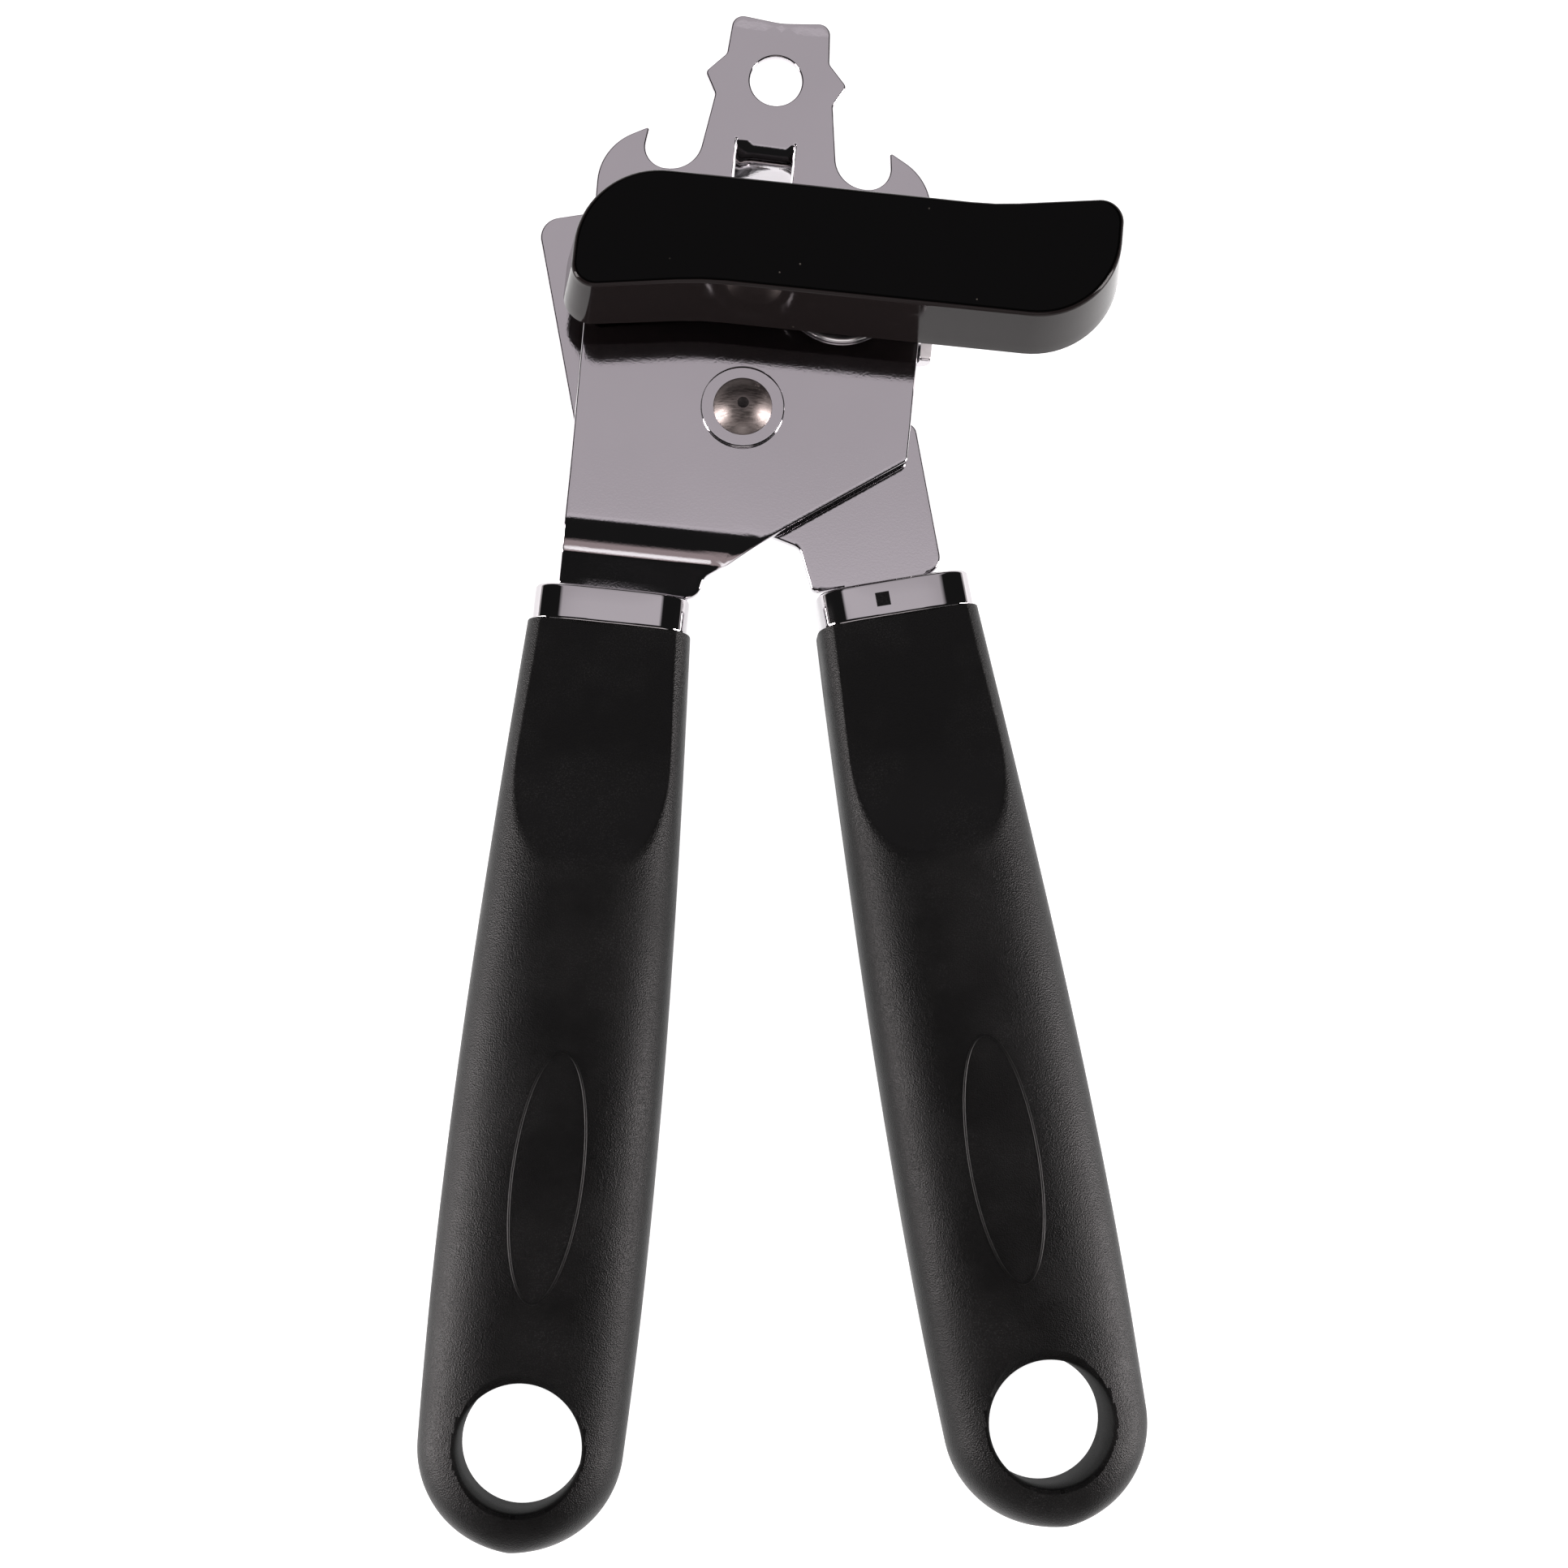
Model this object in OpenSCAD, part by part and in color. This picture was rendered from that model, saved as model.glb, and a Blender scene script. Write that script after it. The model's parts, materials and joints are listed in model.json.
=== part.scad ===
// Manual can opener: two steel levers on a pivot rivet, a turning knob that drives
// a toothed feed wheel, and a cutter wheel geared to it. Millimetres, +Z up, lying on
// its handles with the knob on top and the head towards +Y.

/* [Levers] */
// Turn of the front lever from the +Y axis, as it lies with the handles open
front_angle = -5.5; // [-8:0.5:-3]
// Turn of the rear lever from the +Y axis, as it lies with the handles open
rear_angle = 10; // [8:0.5:12]
// Centre of the pivot rivet, so that the whole tool is centred on the origin
pivot_at = [-5.72, 45.78]; // [-60:0.01:60]
// Thickness of the steel plates
sheet_t = 1.5; // [1.2:0.1:1.8]
// Height of the middle of both tangs and of the rear plate
tang_z = 10.65; // [10.4:0.05:10.7]
// Height of the middle of the front plate
front_z = 12.75; // [12.5:0.05:13]
// Half the width of the front plate's head
plate_half = 22.2; // [21:0.1:23]

/* [Handles] */
// Distance from the pivot back to the joint of ferrule and handle
joint_y = 30.8; // [29:0.1:32]
// Distance from that joint to the centre of the hanging bore
bore_s = 104.6; // [100:0.1:108]
// Offset of the front handle's axis from the pivot
front_handle_x = -14.45; // [-15:0.05:-14]
// Offset of the rear handle's axis from the pivot
rear_handle_x = 15.5; // [15:0.05:16]
// Radius of the hanging bore in each handle
handle_bore_r = 7.8; // [6:0.1:8.5]
// Width of the chamfer round that bore
bore_chamfer = 1.1; // [0.4:0.1:1.5]
// Half the width of a handle at the ferrule
grip_half_start = 10.7; // [10:0.1:11]
// Half the width of a handle at its widest
grip_half_max = 13.45; // [13:0.05:13.8]
// Radius of the round tail
tail_r = 12.95; // [12:0.05:13.2]

/* [Ferrules] */
// Width of a ferrule
ferrule_w = 20.4; // [19:0.1:21]
// Thickness of a ferrule
ferrule_h = 13; // [12:0.1:14]
// Length of a ferrule
ferrule_len = 4.8; // [4:0.1:6]

/* [Drive] */
// Centre of the drive shaft from the pivot, in the front lever's own axes
drive_at = [11.4, 18.3]; // [0:0.1:30]
// Distance between the drive and cutter axes with the handles closed
gear_distance = 16; // [15.9:0.05:16.2]
// Number of teeth on each gear
gear_teeth = 14; // [12:2:16]
// Radius of the feed wheel over its teeth
feed_r = 6.2; // [5.6:0.1:6.2]
// Radius of the cutter wheel's edge
cutter_r = 10.2; // [9:0.1:10.2]
// Radius of the drive shaft and of the cutter spindle
shaft_r = 3; // [2.8:0.05:3]
// Play between a shaft and its bush
play = 0.05; // [0.03:0.01:0.08]

/* [Knob] */
// Half the length of the knob's top face
knob_half = 35.1; // [30:0.1:36]
// Half the width of the knob's top face between its ends
knob_waist = 7.5; // [7:0.1:9]
// Height of the knob's underside
knob_z = 17.8; // [16.3:0.1:18]
// Height of the knob's wall
knob_h = 11.7; // [10:0.1:14]

/* [Hidden] */

$fn = 64;
steel = [0.64, 0.62, 0.64];
bright = [0.78, 0.77, 0.78];
dark_steel = [0.46, 0.44, 0.44];
black_plastic = [0.05, 0.05, 0.05];
gloss_black = [0.02, 0.02, 0.02];

arc_step = 9;
big = 200;
gap = 0.1;
front_top = front_z + sheet_t / 2;
front_under = front_z - sheet_t / 2;
rear_top = tang_z + sheet_t / 2;
rear_under = tang_z - sheet_t / 2;
open_angle = rear_angle - front_angle;
cutter_at = drive_at - [gear_distance, 0];
mid_z = 7.5;

// Gears share one level under the rear plate
gear_t = 2.2;
gear_z = rear_under - 0.5 - gear_t;
gear_pitch_r = gear_distance / 2;
gear_tip = 0.9;
gear_root = 1.1;
// Feed wheel and cutter wheel lie under the gears and pass like shears
feed_z = 4.5;
feed_t = 2.1;
feed_teeth = 20;
feed_hub_r = 4.2;
cutter_face_z = 4.1;
cutter_t = 1.1;
cutter_bevel = 1.6;
cutter_hub_r = 5.5;
bush_stand = 0.3;
cutter_bush_stand = 0.2;
shaft_bush_wall = 1.8;
cutter_bush_wall = 1.5;
drive_spacer_r = 4.2;
cutter_thrust_r = 5.4;
feed_washer_r = 4.8;
feed_washer_t = 0.5;
// Closed ends of the rivet, the shaft and the spindle: radii, taper and height
closed_end = [3.2, 4, 0.8];
spindle_end = [4, 4.6, 1];
pivot_r = 3.5;
rivet_r = 2.5;
rivet_head_r = 3.95;
rivet_head_h = 1.9;
bush_flange_r = 5.55;
bush_flange_t = 0.5;
pivot_washer_t = 0.7;
pivot_washer_r = 5.6;
pivot_spacer_r = 6.5;
pivot_low = rear_under - 0.15;
grip_len = bore_s + tail_r;
tang_end_y = -66;
neck_len = 3.6;
ferrule_wall = 0.9;
tang_half = 6.5;

// ---------- outlines ----------

function unit(v) = v / norm(v);

// Points of a corner at b between a and c, rounded to radius r
function corner(a, b, c, r) =
  r <= 0 ? [b] :
  let (
    u = unit(a - b),
    v = unit(c - b),
    half = acos(u * v) / 2,
    centre = b + unit(u + v) * r / sin(half),
    first = b + u * r / tan(half) - centre,
    last = b + v * r / tan(half) - centre,
    start = atan2(first.y, first.x),
    sweep = ((atan2(last.y, last.x) - start + 540) % 360) - 180,
    steps = max(2, ceil(abs(sweep) / arc_step))
  )
  [for (i = [0:steps]) centre + r * [cos(start + sweep * i / steps), sin(start + sweep * i / steps)]];

function xy(p) = [p[0], p[1]];

// Closed outline from corners given as [x, y, radius]
function rounded(pts) =
  let (n = len(pts))
  [for (i = [0:n - 1])
    each corner(xy(pts[(i + n - 1) % n]), xy(pts[i]), xy(pts[(i + 1) % n]), pts[i][2])];

// Open path from corners given as [x, y, radius]
function rounded_path(pts) =
  let (n = len(pts))
  [for (i = [0:n - 1])
    each (i == 0 || i == n - 1 ? [xy(pts[i])] : corner(xy(pts[i - 1]), xy(pts[i]), xy(pts[i + 1]), pts[i][2]))];

function path_normal(path, i) =
  let (d = unit(path[min(i + 1, len(path) - 1)] - path[max(i - 1, 0)]))
  [-d.y, d.x];

// Section of a bent sheet of thickness t along an open path
function strip(path, t) =
  concat(
    [for (i = [0:len(path) - 1]) path[i] + path_normal(path, i) * t / 2],
    [for (i = [len(path) - 1:-1:0]) path[i] - path_normal(path, i) * t / 2]
  );

// Extrudes a section drawn in Y and Z along X
module along_x(x0, x1) {
  translate([x0, 0, 0])
    rotate([90, 0, 90])
      linear_extrude(x1 - x0)
        children();
}

// Extrudes a section drawn in X and Z along Y, from y0 down to y1
module along_y(y0, y1) {
  translate([0, y0, 0])
    rotate([90, 0, 0])
      linear_extrude(y0 - y1)
        children();
}

module ring(r_out, r_in, z0, z1) {
  difference() {
    translate([0, 0, z0])
      cylinder(r = r_out, h = z1 - z0);
    translate([0, 0, z0 - 1])
      cylinder(r = r_in, h = z1 - z0 + 2);
  }
}

module bore(at, r) {
  translate([at.x, at.y, -1])
    cylinder(r = r, h = 40);
}

// ---------- places ----------

module in_front() {
  translate([pivot_at.x, pivot_at.y, 0])
    rotate(front_angle)
      children();
}

module in_rear() {
  translate([pivot_at.x, pivot_at.y, 0])
    rotate(rear_angle)
      children();
}

module at_drive() {
  in_front()
    translate([drive_at.x, drive_at.y, 0])
      children();
}

module at_cutter() {
  in_rear()
    translate([cutter_at.x, cutter_at.y, 0])
      children();
}

// ---------- front plate ----------

neck_half = 8;
notch_floor = 31.9;
tongue_x = [-4.4, 3.4];
tongue_root = 36.6;
tongue_low = 3.8;
tongue_slit = 0.15;
window_end = 25;
hang_at = [0, 45.7];
hang_r = 3.45;

// Right half of the head, from the top middle round to the shoulder
head_half = [
  [6.6, 54.7, 1.6], [7, 48.9, 0.9], [9.6, 46, 0.8], [neck_half, 43, 0.9],
  [9.6, notch_floor, 4.2], [16.8, notch_floor, 2.9], [16.1, 37.5, 0.25],
  [plate_half + 0.3, 33.9, 8]
];

function mirrored(pts) = [for (i = [len(pts) - 1:-1:0]) [-pts[i][0], pts[i][1], pts[i][2]]];

front_outline = concat(
  [[0, 54, 9]],
  head_half,
  [
    [plate_half + 0.1, -4.9, 1.1], [-2.7, -22.8, 1.6], [-3.4, -25.9, 2.2],
    [front_handle_x + tang_half, -25.9, 0], [front_handle_x + tang_half, tang_end_y, 2],
    [front_handle_x - tang_half, tang_end_y, 2], [front_handle_x - tang_half, -25.9, 0],
    [-21.6, -25.9, 0.7], [-plate_half + 0.5, -10, 0]
  ],
  mirrored(head_half)
);

// Path of the front sheet in Y and Z: tip, flat plate, joggle down to the tang
front_path = [
  [56, front_z + 0.35, 0], [52.6, front_z, 5], [-19.05, front_z, 6.5],
  [-22.4, tang_z, 6.2], [tang_end_y - 1, tang_z, 0]
];

tongue_path = [
  [tongue_root, front_z, 0], [tongue_root - 2.2, front_z, 2.1],
  [tongue_root - 3.1, tongue_low, 0]
];

// The front stamping is parted here, just before it bends down to the tang
joggle_y = -16.9;

module front_stamping() {
  intersection() {
    linear_extrude(20)
      polygon(rounded(front_outline));
    along_x(-30, 30)
      polygon(strip(rounded_path(front_path), sheet_t));
  }
}

module behind_joggle() {
  translate([-big / 2, joggle_y - big, -1])
    cube([big, big, 40]);
}

module tongue_window() {
  translate([tongue_x[0] - tongue_slit, window_end, front_z - 2])
    cube([tongue_x[1] - tongue_x[0] + 2 * tongue_slit, tongue_root - window_end, 4]);
}

module front_plate() {
  color(steel)
    in_front()
      difference() {
        front_stamping();
        bore(hang_at, hang_r);
        bore([0, 0], pivot_r);
        bore(drive_at, shaft_r + shaft_bush_wall);
        tongue_window();
        behind_joggle();
      }
}

module front_tang() {
  color(steel)
    in_front()
      intersection() {
        front_stamping();
        behind_joggle();
      }
}

module lanced_tongue() {
  color(steel)
    in_front()
      along_x(tongue_x[0], tongue_x[1])
        polygon(strip(rounded_path(tongue_path), sheet_t));
}

// ---------- rear plate ----------

arm_foot = 11.6;

rear_outline = [
  [-22.5, 30.5, 2.8], [5.2, 30.5, 3], [5.2, arm_foot, 1.5], [16, 6.6, 3], [21.15, 5, 3],
  [21.15, -4.8, 0.2], [22.45, -4.8, 1.7], [22.45, -25.6, 2.4], [rear_handle_x + tang_half, -25.6, 0],
  [rear_handle_x + tang_half, tang_end_y, 2], [rear_handle_x - tang_half, tang_end_y, 2],
  [rear_handle_x - tang_half, -25.6, 0], [4.9, -25.6, 0.9], [4.3, -19.4, 1.6], [-22.1, -3.3, 3]
];

// The stop tab turns up beside the front plate's edge when the handles are open
stop_play = 0.45;
stop_x = plate_half + stop_play + sheet_t / 2;
stop_y = [9.1, 11.9];
stop_path = [[18, tang_z, 0], [stop_x, tang_z, 1.6], [stop_x, front_top - 0.2, 0]];

module rear_stamping(z0, t) {
  translate([0, 0, z0])
    linear_extrude(t)
      polygon(rounded(rear_outline));
}

module above_arm_foot() {
  translate([-big / 2, arm_foot, -1])
    cube([big, big, 40]);
}

module rear_plate() {
  color(steel)
    in_rear()
      difference() {
        rear_stamping(rear_under, sheet_t);
        above_arm_foot();
        bore([0, 0], pivot_r + play);
      }
}

module cutter_arm() {
  color(steel)
    in_rear()
      difference() {
        intersection() {
          rear_stamping(rear_under, sheet_t);
          above_arm_foot();
        }
        bore(cutter_at, shaft_r + cutter_bush_wall);
      }
}

module stop_tab() {
  color(steel)
    in_rear()
      difference() {
        rotate(-open_angle)
          along_y(stop_y[1], stop_y[0])
            polygon(strip(rounded_path(stop_path), sheet_t));
        rear_stamping(rear_under - 1, sheet_t + 2);
      }
}

// ---------- ferrules ----------

module rounded_bar(w, h, r) {
  polygon(rounded([
    [-w / 2, mid_z - h / 2, r], [w / 2, mid_z - h / 2, r],
    [w / 2, mid_z + h / 2, r], [-w / 2, mid_z + h / 2, r]
  ]));
}

ferrule_corner = 4.4;
ferrule_front = -joint_y + ferrule_len;

module ferrule(x) {
  translate([x, 0, 0])
    difference() {
      along_y(ferrule_front, -joint_y)
        rounded_bar(ferrule_w, ferrule_h, ferrule_corner);
      along_y(-joint_y + neck_len, -joint_y - 1)
        rounded_bar(
          ferrule_w - 2 * ferrule_wall, ferrule_h - 2 * ferrule_wall, ferrule_corner - ferrule_wall
        );
      translate([-tang_half, -big, rear_under])
        cube([2 * tang_half, 2 * big, sheet_t]);
    }
}

module front_ferrule() {
  color(bright)
    in_front()
      ferrule(front_handle_x);
}

lock_hole = 1.9;

module rear_ferrule() {
  color(bright)
    in_rear()
      difference() {
        ferrule(rear_handle_x);
        translate([
          rear_handle_x - 1.9 - lock_hole / 2, ferrule_front - 2.5 - lock_hole / 2, mid_z + ferrule_h / 2 - 0.6
        ])
          cube([lock_hole, lock_hole, 2]);
      }
}

// ---------- handles ----------

section_points = 36;
section_power = 2.7;
swell_s = 78.8;
crown_start = 14.4;
crown_max = 16;
crown_tail = 15.2;
// The thumb rest is flat as far as rest_s, then sweeps up to the crown
rest_z = 13.5;
rest_s = 17.2;
rest_r = 34;

// Half width of the grip at distance s behind the ferrule
function grip_half(s) =
  s < swell_s
  ? grip_half_start + (grip_half_max - grip_half_start) * sin(90 * s / swell_s)
  : s < bore_s
  ? grip_half_max - (grip_half_max - tail_r) * pow((s - swell_s) / (bore_s - swell_s), 2)
  : sqrt(max(0.04, pow(tail_r, 2) - pow(s - bore_s, 2)));

function ease(t) = let (u = max(0, min(1, t))) u * u * (3 - 2 * u);

// Height of the crown and of the underside, both drawn in round the tail
function tail_pinch(s) =
  s < bore_s ? 0 : 4.2 * (1 - sqrt(max(0.0, 1 - pow((s - bore_s) / (tail_r + 0.01), 4))));

function grip_top(s) =
  crown_start + (crown_max - crown_start) * ease(s / 34)
  - (crown_max - crown_tail) * ease((s - 76) / 28) - tail_pinch(s);

function grip_low(s) = 0.8 * (1 - ease(s / 12)) + tail_pinch(s);

function grip_section(s) =
  let (a = grip_half(s), top = grip_top(s), low = grip_low(s), c = (top + low) / 2, b = (top - low) / 2)
  [for (k = [0:section_points - 1])
    let (w = 360 * k / section_points, e = 2 / section_power)
    [a * sign(cos(w)) * pow(abs(cos(w)), e), -s, c + b * sign(sin(w)) * pow(abs(sin(w)), e)]];

grip_stations = concat(
  [for (i = [0:11]) i * (bore_s - 4) / 11],
  [for (w = [0:9:81]) bore_s + tail_r * sin(w)],
  [bore_s + tail_r * sin(86), grip_len]
);

module grip_body() {
  rings = [for (s = grip_stations) grip_section(s)];
  n = section_points;
  m = len(rings);
  polyhedron(
    points = [for (r = rings) each r],
    faces = concat(
      [[for (k = [0:n - 1]) k]],
      [for (j = [0:m - 2]) for (k = [0:n - 1])
        each [
          [j * n + k, (j + 1) * n + k, j * n + (k + 1) % n],
          [j * n + (k + 1) % n, (j + 1) * n + k, (j + 1) * n + (k + 1) % n]
        ]],
      [[for (k = [n - 1:-1:0]) (m - 1) * n + k]]
    )
  );
}

// Space above the thumb rest
module thumb_rest_space() {
  along_x(-big / 2, big / 2)
    polygon(concat(
      [[1, big], [1, rest_z]],
      [for (w = [0:3:30]) [-rest_s - rest_r * sin(w), rest_z + rest_r * (1 - cos(w))]],
      [[-rest_s - rest_r / 2, big]]
    ));
}

module grip() {
  difference() {
    union() {
      grip_body();
      along_y(neck_len, -2)
        rounded_bar(
          ferrule_w - 2 * ferrule_wall, ferrule_h - 2 * ferrule_wall, ferrule_corner - ferrule_wall
        );
    }
    thumb_rest_space();
    translate([0, -bore_s, -1])
      cylinder(r = handle_bore_r, h = 30);
    translate([0, -bore_s, crown_tail - bore_chamfer])
      cylinder(r1 = handle_bore_r, r2 = handle_bore_r + 3, h = 3);
    translate([0, -bore_s, bore_chamfer - 3])
      cylinder(r1 = handle_bore_r + 3, r2 = handle_bore_r, h = 3);
    translate([-tang_half, tang_end_y + joint_y, rear_under])
      cube([2 * tang_half, 2 * big, sheet_t]);
  }
}

module front_handle() {
  color(black_plastic)
    in_front()
      translate([front_handle_x, -joint_y, 0])
        grip();
}

module rear_handle() {
  color(black_plastic)
    in_rear()
      translate([rear_handle_x, -joint_y, 0])
        grip();
}

// ---------- pivot ----------

module pivot_rivet() {
  head_z = front_top + bush_flange_t;
  dome_r = (pow(rivet_head_r, 2) + pow(rivet_head_h, 2)) / (2 * rivet_head_h);
  tail_z = pivot_low - pivot_washer_t;
  color(dark_steel)
    in_front()
      union() {
        translate([0, 0, tail_z - 0.1])
          cylinder(r = rivet_r, h = head_z - tail_z + 0.6);
        intersection() {
          translate([0, 0, head_z + rivet_head_h - dome_r])
            sphere(r = dome_r);
          translate([0, 0, head_z])
            cylinder(r = rivet_head_r + 1, h = 5);
        }
        translate([0, 0, tail_z - 1])
          cylinder(r1 = closed_end[0], r2 = closed_end[1], h = 1);
      }
}

module pivot_bush() {
  color(bright)
    in_front()
      rotate_extrude()
        polygon([
          [rivet_r, pivot_low], [pivot_r, pivot_low], [pivot_r, front_top],
          [bush_flange_r, front_top], [bush_flange_r, front_top + bush_flange_t - 0.2],
          [bush_flange_r - 0.2, front_top + bush_flange_t], [rivet_r, front_top + bush_flange_t]
        ]);
}

module pivot_spacer() {
  color(dark_steel)
    in_front()
      ring(pivot_spacer_r, pivot_r, rear_top + gap, front_under);
}

module pivot_washer() {
  color(bright)
    in_front()
      ring(pivot_washer_r, rivet_r, pivot_low - pivot_washer_t, pivot_low);
}

// ---------- bushes ----------

module shaft_bush() {
  color(dark_steel)
    at_drive()
      ring(shaft_r + shaft_bush_wall, shaft_r + play, front_under - 0.2, front_top + bush_stand);
}

module cutter_bush() {
  color(dark_steel)
    at_cutter()
      ring(shaft_r + cutter_bush_wall, shaft_r + play, rear_under - cutter_bush_stand, rear_top + cutter_bush_stand);
}

// ---------- drive train ----------

function polar(r, w) = [r * cos(w), r * sin(w)];

// One gear outline with a tooth centred at the given angle
function gear_outline(phase) =
  let (pitch = 360 / gear_teeth)
  [for (k = [0:gear_teeth - 1])
    let (w = phase + k * pitch)
    each [
      polar(gear_pitch_r - gear_root, w - 0.29 * pitch),
      polar(gear_pitch_r, w - 0.205 * pitch),
      polar(gear_pitch_r + gear_tip, w - 0.1 * pitch),
      polar(gear_pitch_r + gear_tip, w + 0.1 * pitch),
      polar(gear_pitch_r, w + 0.205 * pitch),
      polar(gear_pitch_r - gear_root, w + 0.29 * pitch)
    ]];

module gear(phase) {
  difference() {
    translate([0, 0, gear_z])
      linear_extrude(gear_t)
        polygon(gear_outline(phase));
    bore([0, 0], shaft_r);
  }
}

module drive_gear() {
  color(dark_steel)
    at_drive()
      gear(0);
}

module cutter_gear() {
  color(dark_steel)
    at_cutter()
      gear(180 / gear_teeth);
}

module drive_spacer() {
  color(bright)
    at_drive()
      ring(drive_spacer_r, shaft_r, gear_z + gear_t, front_under - 0.3);
}

module cutter_thrust_washer() {
  color(bright)
    at_cutter()
      ring(cutter_thrust_r, shaft_r, gear_z + gear_t, rear_under - cutter_bush_stand - 0.05);
}

feed_outline = [
  for (k = [0:feed_teeth - 1])
    let (pitch = 360 / feed_teeth, w = k * pitch)
    each [
      polar(feed_r - 0.8, w - 0.4 * pitch), polar(feed_r - 0.1, w - 0.16 * pitch),
      polar(feed_r, w), polar(feed_r - 0.1, w + 0.16 * pitch), polar(feed_r - 0.8, w + 0.4 * pitch)
    ]
];

module feed_wheel() {
  color(dark_steel)
    at_drive()
      difference() {
        union() {
          translate([0, 0, feed_z])
            linear_extrude(feed_t)
              polygon(feed_outline);
          translate([0, 0, feed_z + feed_t])
            cylinder(r = feed_hub_r, h = gear_z - feed_z - feed_t);
        }
        bore([0, 0], shaft_r);
      }
}

module feed_washer() {
  color(bright)
    at_drive()
      ring(feed_washer_r, shaft_r, feed_z - feed_washer_t, feed_z);
}

shaft_top = knob_z + knob_h - 2.6;
key_half = 2.3;

// Spaces beside the two flats that turn the knob with the shaft
module key_flats() {
  for (side = [-1, 1])
    translate([-5, side * (key_half + 5) - 5, knob_z])
      cube([10, 10, 20]);
}

module drive_shaft() {
  color(dark_steel)
    at_drive()
      difference() {
        union() {
          translate([0, 0, feed_z - feed_washer_t])
            cylinder(r = shaft_r, h = shaft_top - feed_z + feed_washer_t);
          translate([0, 0, feed_z - feed_washer_t - closed_end[2]])
            cylinder(r1 = closed_end[0], r2 = closed_end[1], h = closed_end[2]);
        }
        key_flats();
      }
}

cup_r = 8.3;
cup_h = 1.1;
cup_low = front_top + 0.2;

module cup_washer() {
  color(bright)
    at_drive()
      rotate_extrude()
        polygon([
          [shaft_r, front_top + bush_stand + gap], [cup_r - 1, front_top + bush_stand + gap],
          [cup_r - 0.8, cup_low], [cup_r, cup_low], [cup_r, cup_low + 0.5],
          [cup_r - 0.7, front_top + cup_h], [shaft_r, front_top + cup_h]
        ]);
}

module cutter_spindle() {
  color(dark_steel)
    at_cutter()
      union() {
        translate([0, 0, cutter_face_z - cutter_t])
          cylinder(r = shaft_r, h = rear_top + cutter_bush_stand - cutter_face_z + cutter_t);
        translate([0, 0, cutter_face_z - cutter_t - spindle_end[2]])
          cylinder(r1 = spindle_end[0], r2 = spindle_end[1], h = spindle_end[2]);
      }
}

module cutter_wheel() {
  low = cutter_face_z - cutter_t;
  color(bright)
    at_cutter()
      rotate_extrude($fn = 96)
        polygon([
          [shaft_r, low], [cutter_r - cutter_bevel, low], [cutter_r, cutter_face_z - 0.05],
          [cutter_r, cutter_face_z], [cutter_hub_r, cutter_face_z],
          [cutter_hub_r, gear_z], [shaft_r, gear_z]
        ]);
}

// ---------- knob ----------

knob_draft = 1;
knob_edge = 0.6;
knob_wall = 2;
boss_r = 5.4;
collar_r = 5;
rib_half = 0.8;
rib_end = knob_half - 4.2;

// S-shaped outline, the same turned half way round, grown all round by g
function knob_half_outline(g) = [
  [knob_half - 17, knob_waist + 0.1 + g, 40],
  [knob_half + g, knob_waist + 2.75 + g, 2.4 + g * 0.6],
  [knob_half + g, -knob_waist + 0.1 - g, 11.2 + g * 0.6]
];

function knob_outline(g) = rounded(concat(
  knob_half_outline(g),
  [for (p = knob_half_outline(g)) [-p[0], -p[1], p[2]]]
));

// Tapered wall between two heights and two growths of the outline
module knob_layer(z0, g0, z1, g1) {
  translate([0, 0, z0])
    linear_extrude(
      height = z1 - z0,
      slices = 1,
      scale = [(knob_half + g1) / (knob_half + g0), (knob_waist + 1.5 + g1) / (knob_waist + 1.5 + g0)]
    )
      polygon(knob_outline(g0));
}

ceiling_z = shaft_top;

module knob() {
  top = knob_z + knob_h;
  color(gloss_black)
    at_drive()
      difference() {
        union() {
          knob_layer(knob_z, knob_draft, top - knob_edge, -0.55);
          knob_layer(top - knob_edge, -0.55, top, -knob_draft);
        }
        translate([0, 0, knob_z - 1])
          linear_extrude(ceiling_z - knob_z + 1)
            polygon(knob_outline(-knob_wall));
      }
}

// Boss that holds the shaft, its collar and the ribs under the knob's top
module knob_boss() {
  collar_z = front_top + cup_h;
  color(gloss_black)
    at_drive()
      difference() {
        union() {
          translate([0, 0, knob_z])
            cylinder(r = boss_r, h = ceiling_z - knob_z);
          translate([0, 0, collar_z])
            cylinder(r = collar_r, h = ceiling_z - collar_z);
          translate([-rib_end, -rib_half, knob_z + 1])
            cube([2 * rib_end, 2 * rib_half, ceiling_z - knob_z - 1]);
        }
        difference() {
          translate([0, 0, collar_z - 1])
            cylinder(r = shaft_r, h = ceiling_z - collar_z + 2);
          key_flats();
        }
      }
}

front_plate();
front_tang();
lanced_tongue();
front_ferrule();
front_handle();
pivot_rivet();
pivot_bush();
pivot_spacer();
pivot_washer();
shaft_bush();
rear_plate();
cutter_arm();
stop_tab();
rear_ferrule();
rear_handle();
cutter_bush();
knob();
knob_boss();
cup_washer();
drive_shaft();
drive_gear();
drive_spacer();
feed_wheel();
feed_washer();
cutter_spindle();
cutter_gear();
cutter_thrust_washer();
cutter_wheel();
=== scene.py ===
"""Manual can opener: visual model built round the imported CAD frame."""

import json
import math

import bmesh
import bpy
from mathutils import Matrix, Vector
from mathutils.geometry import delaunay_2d_cdt


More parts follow.
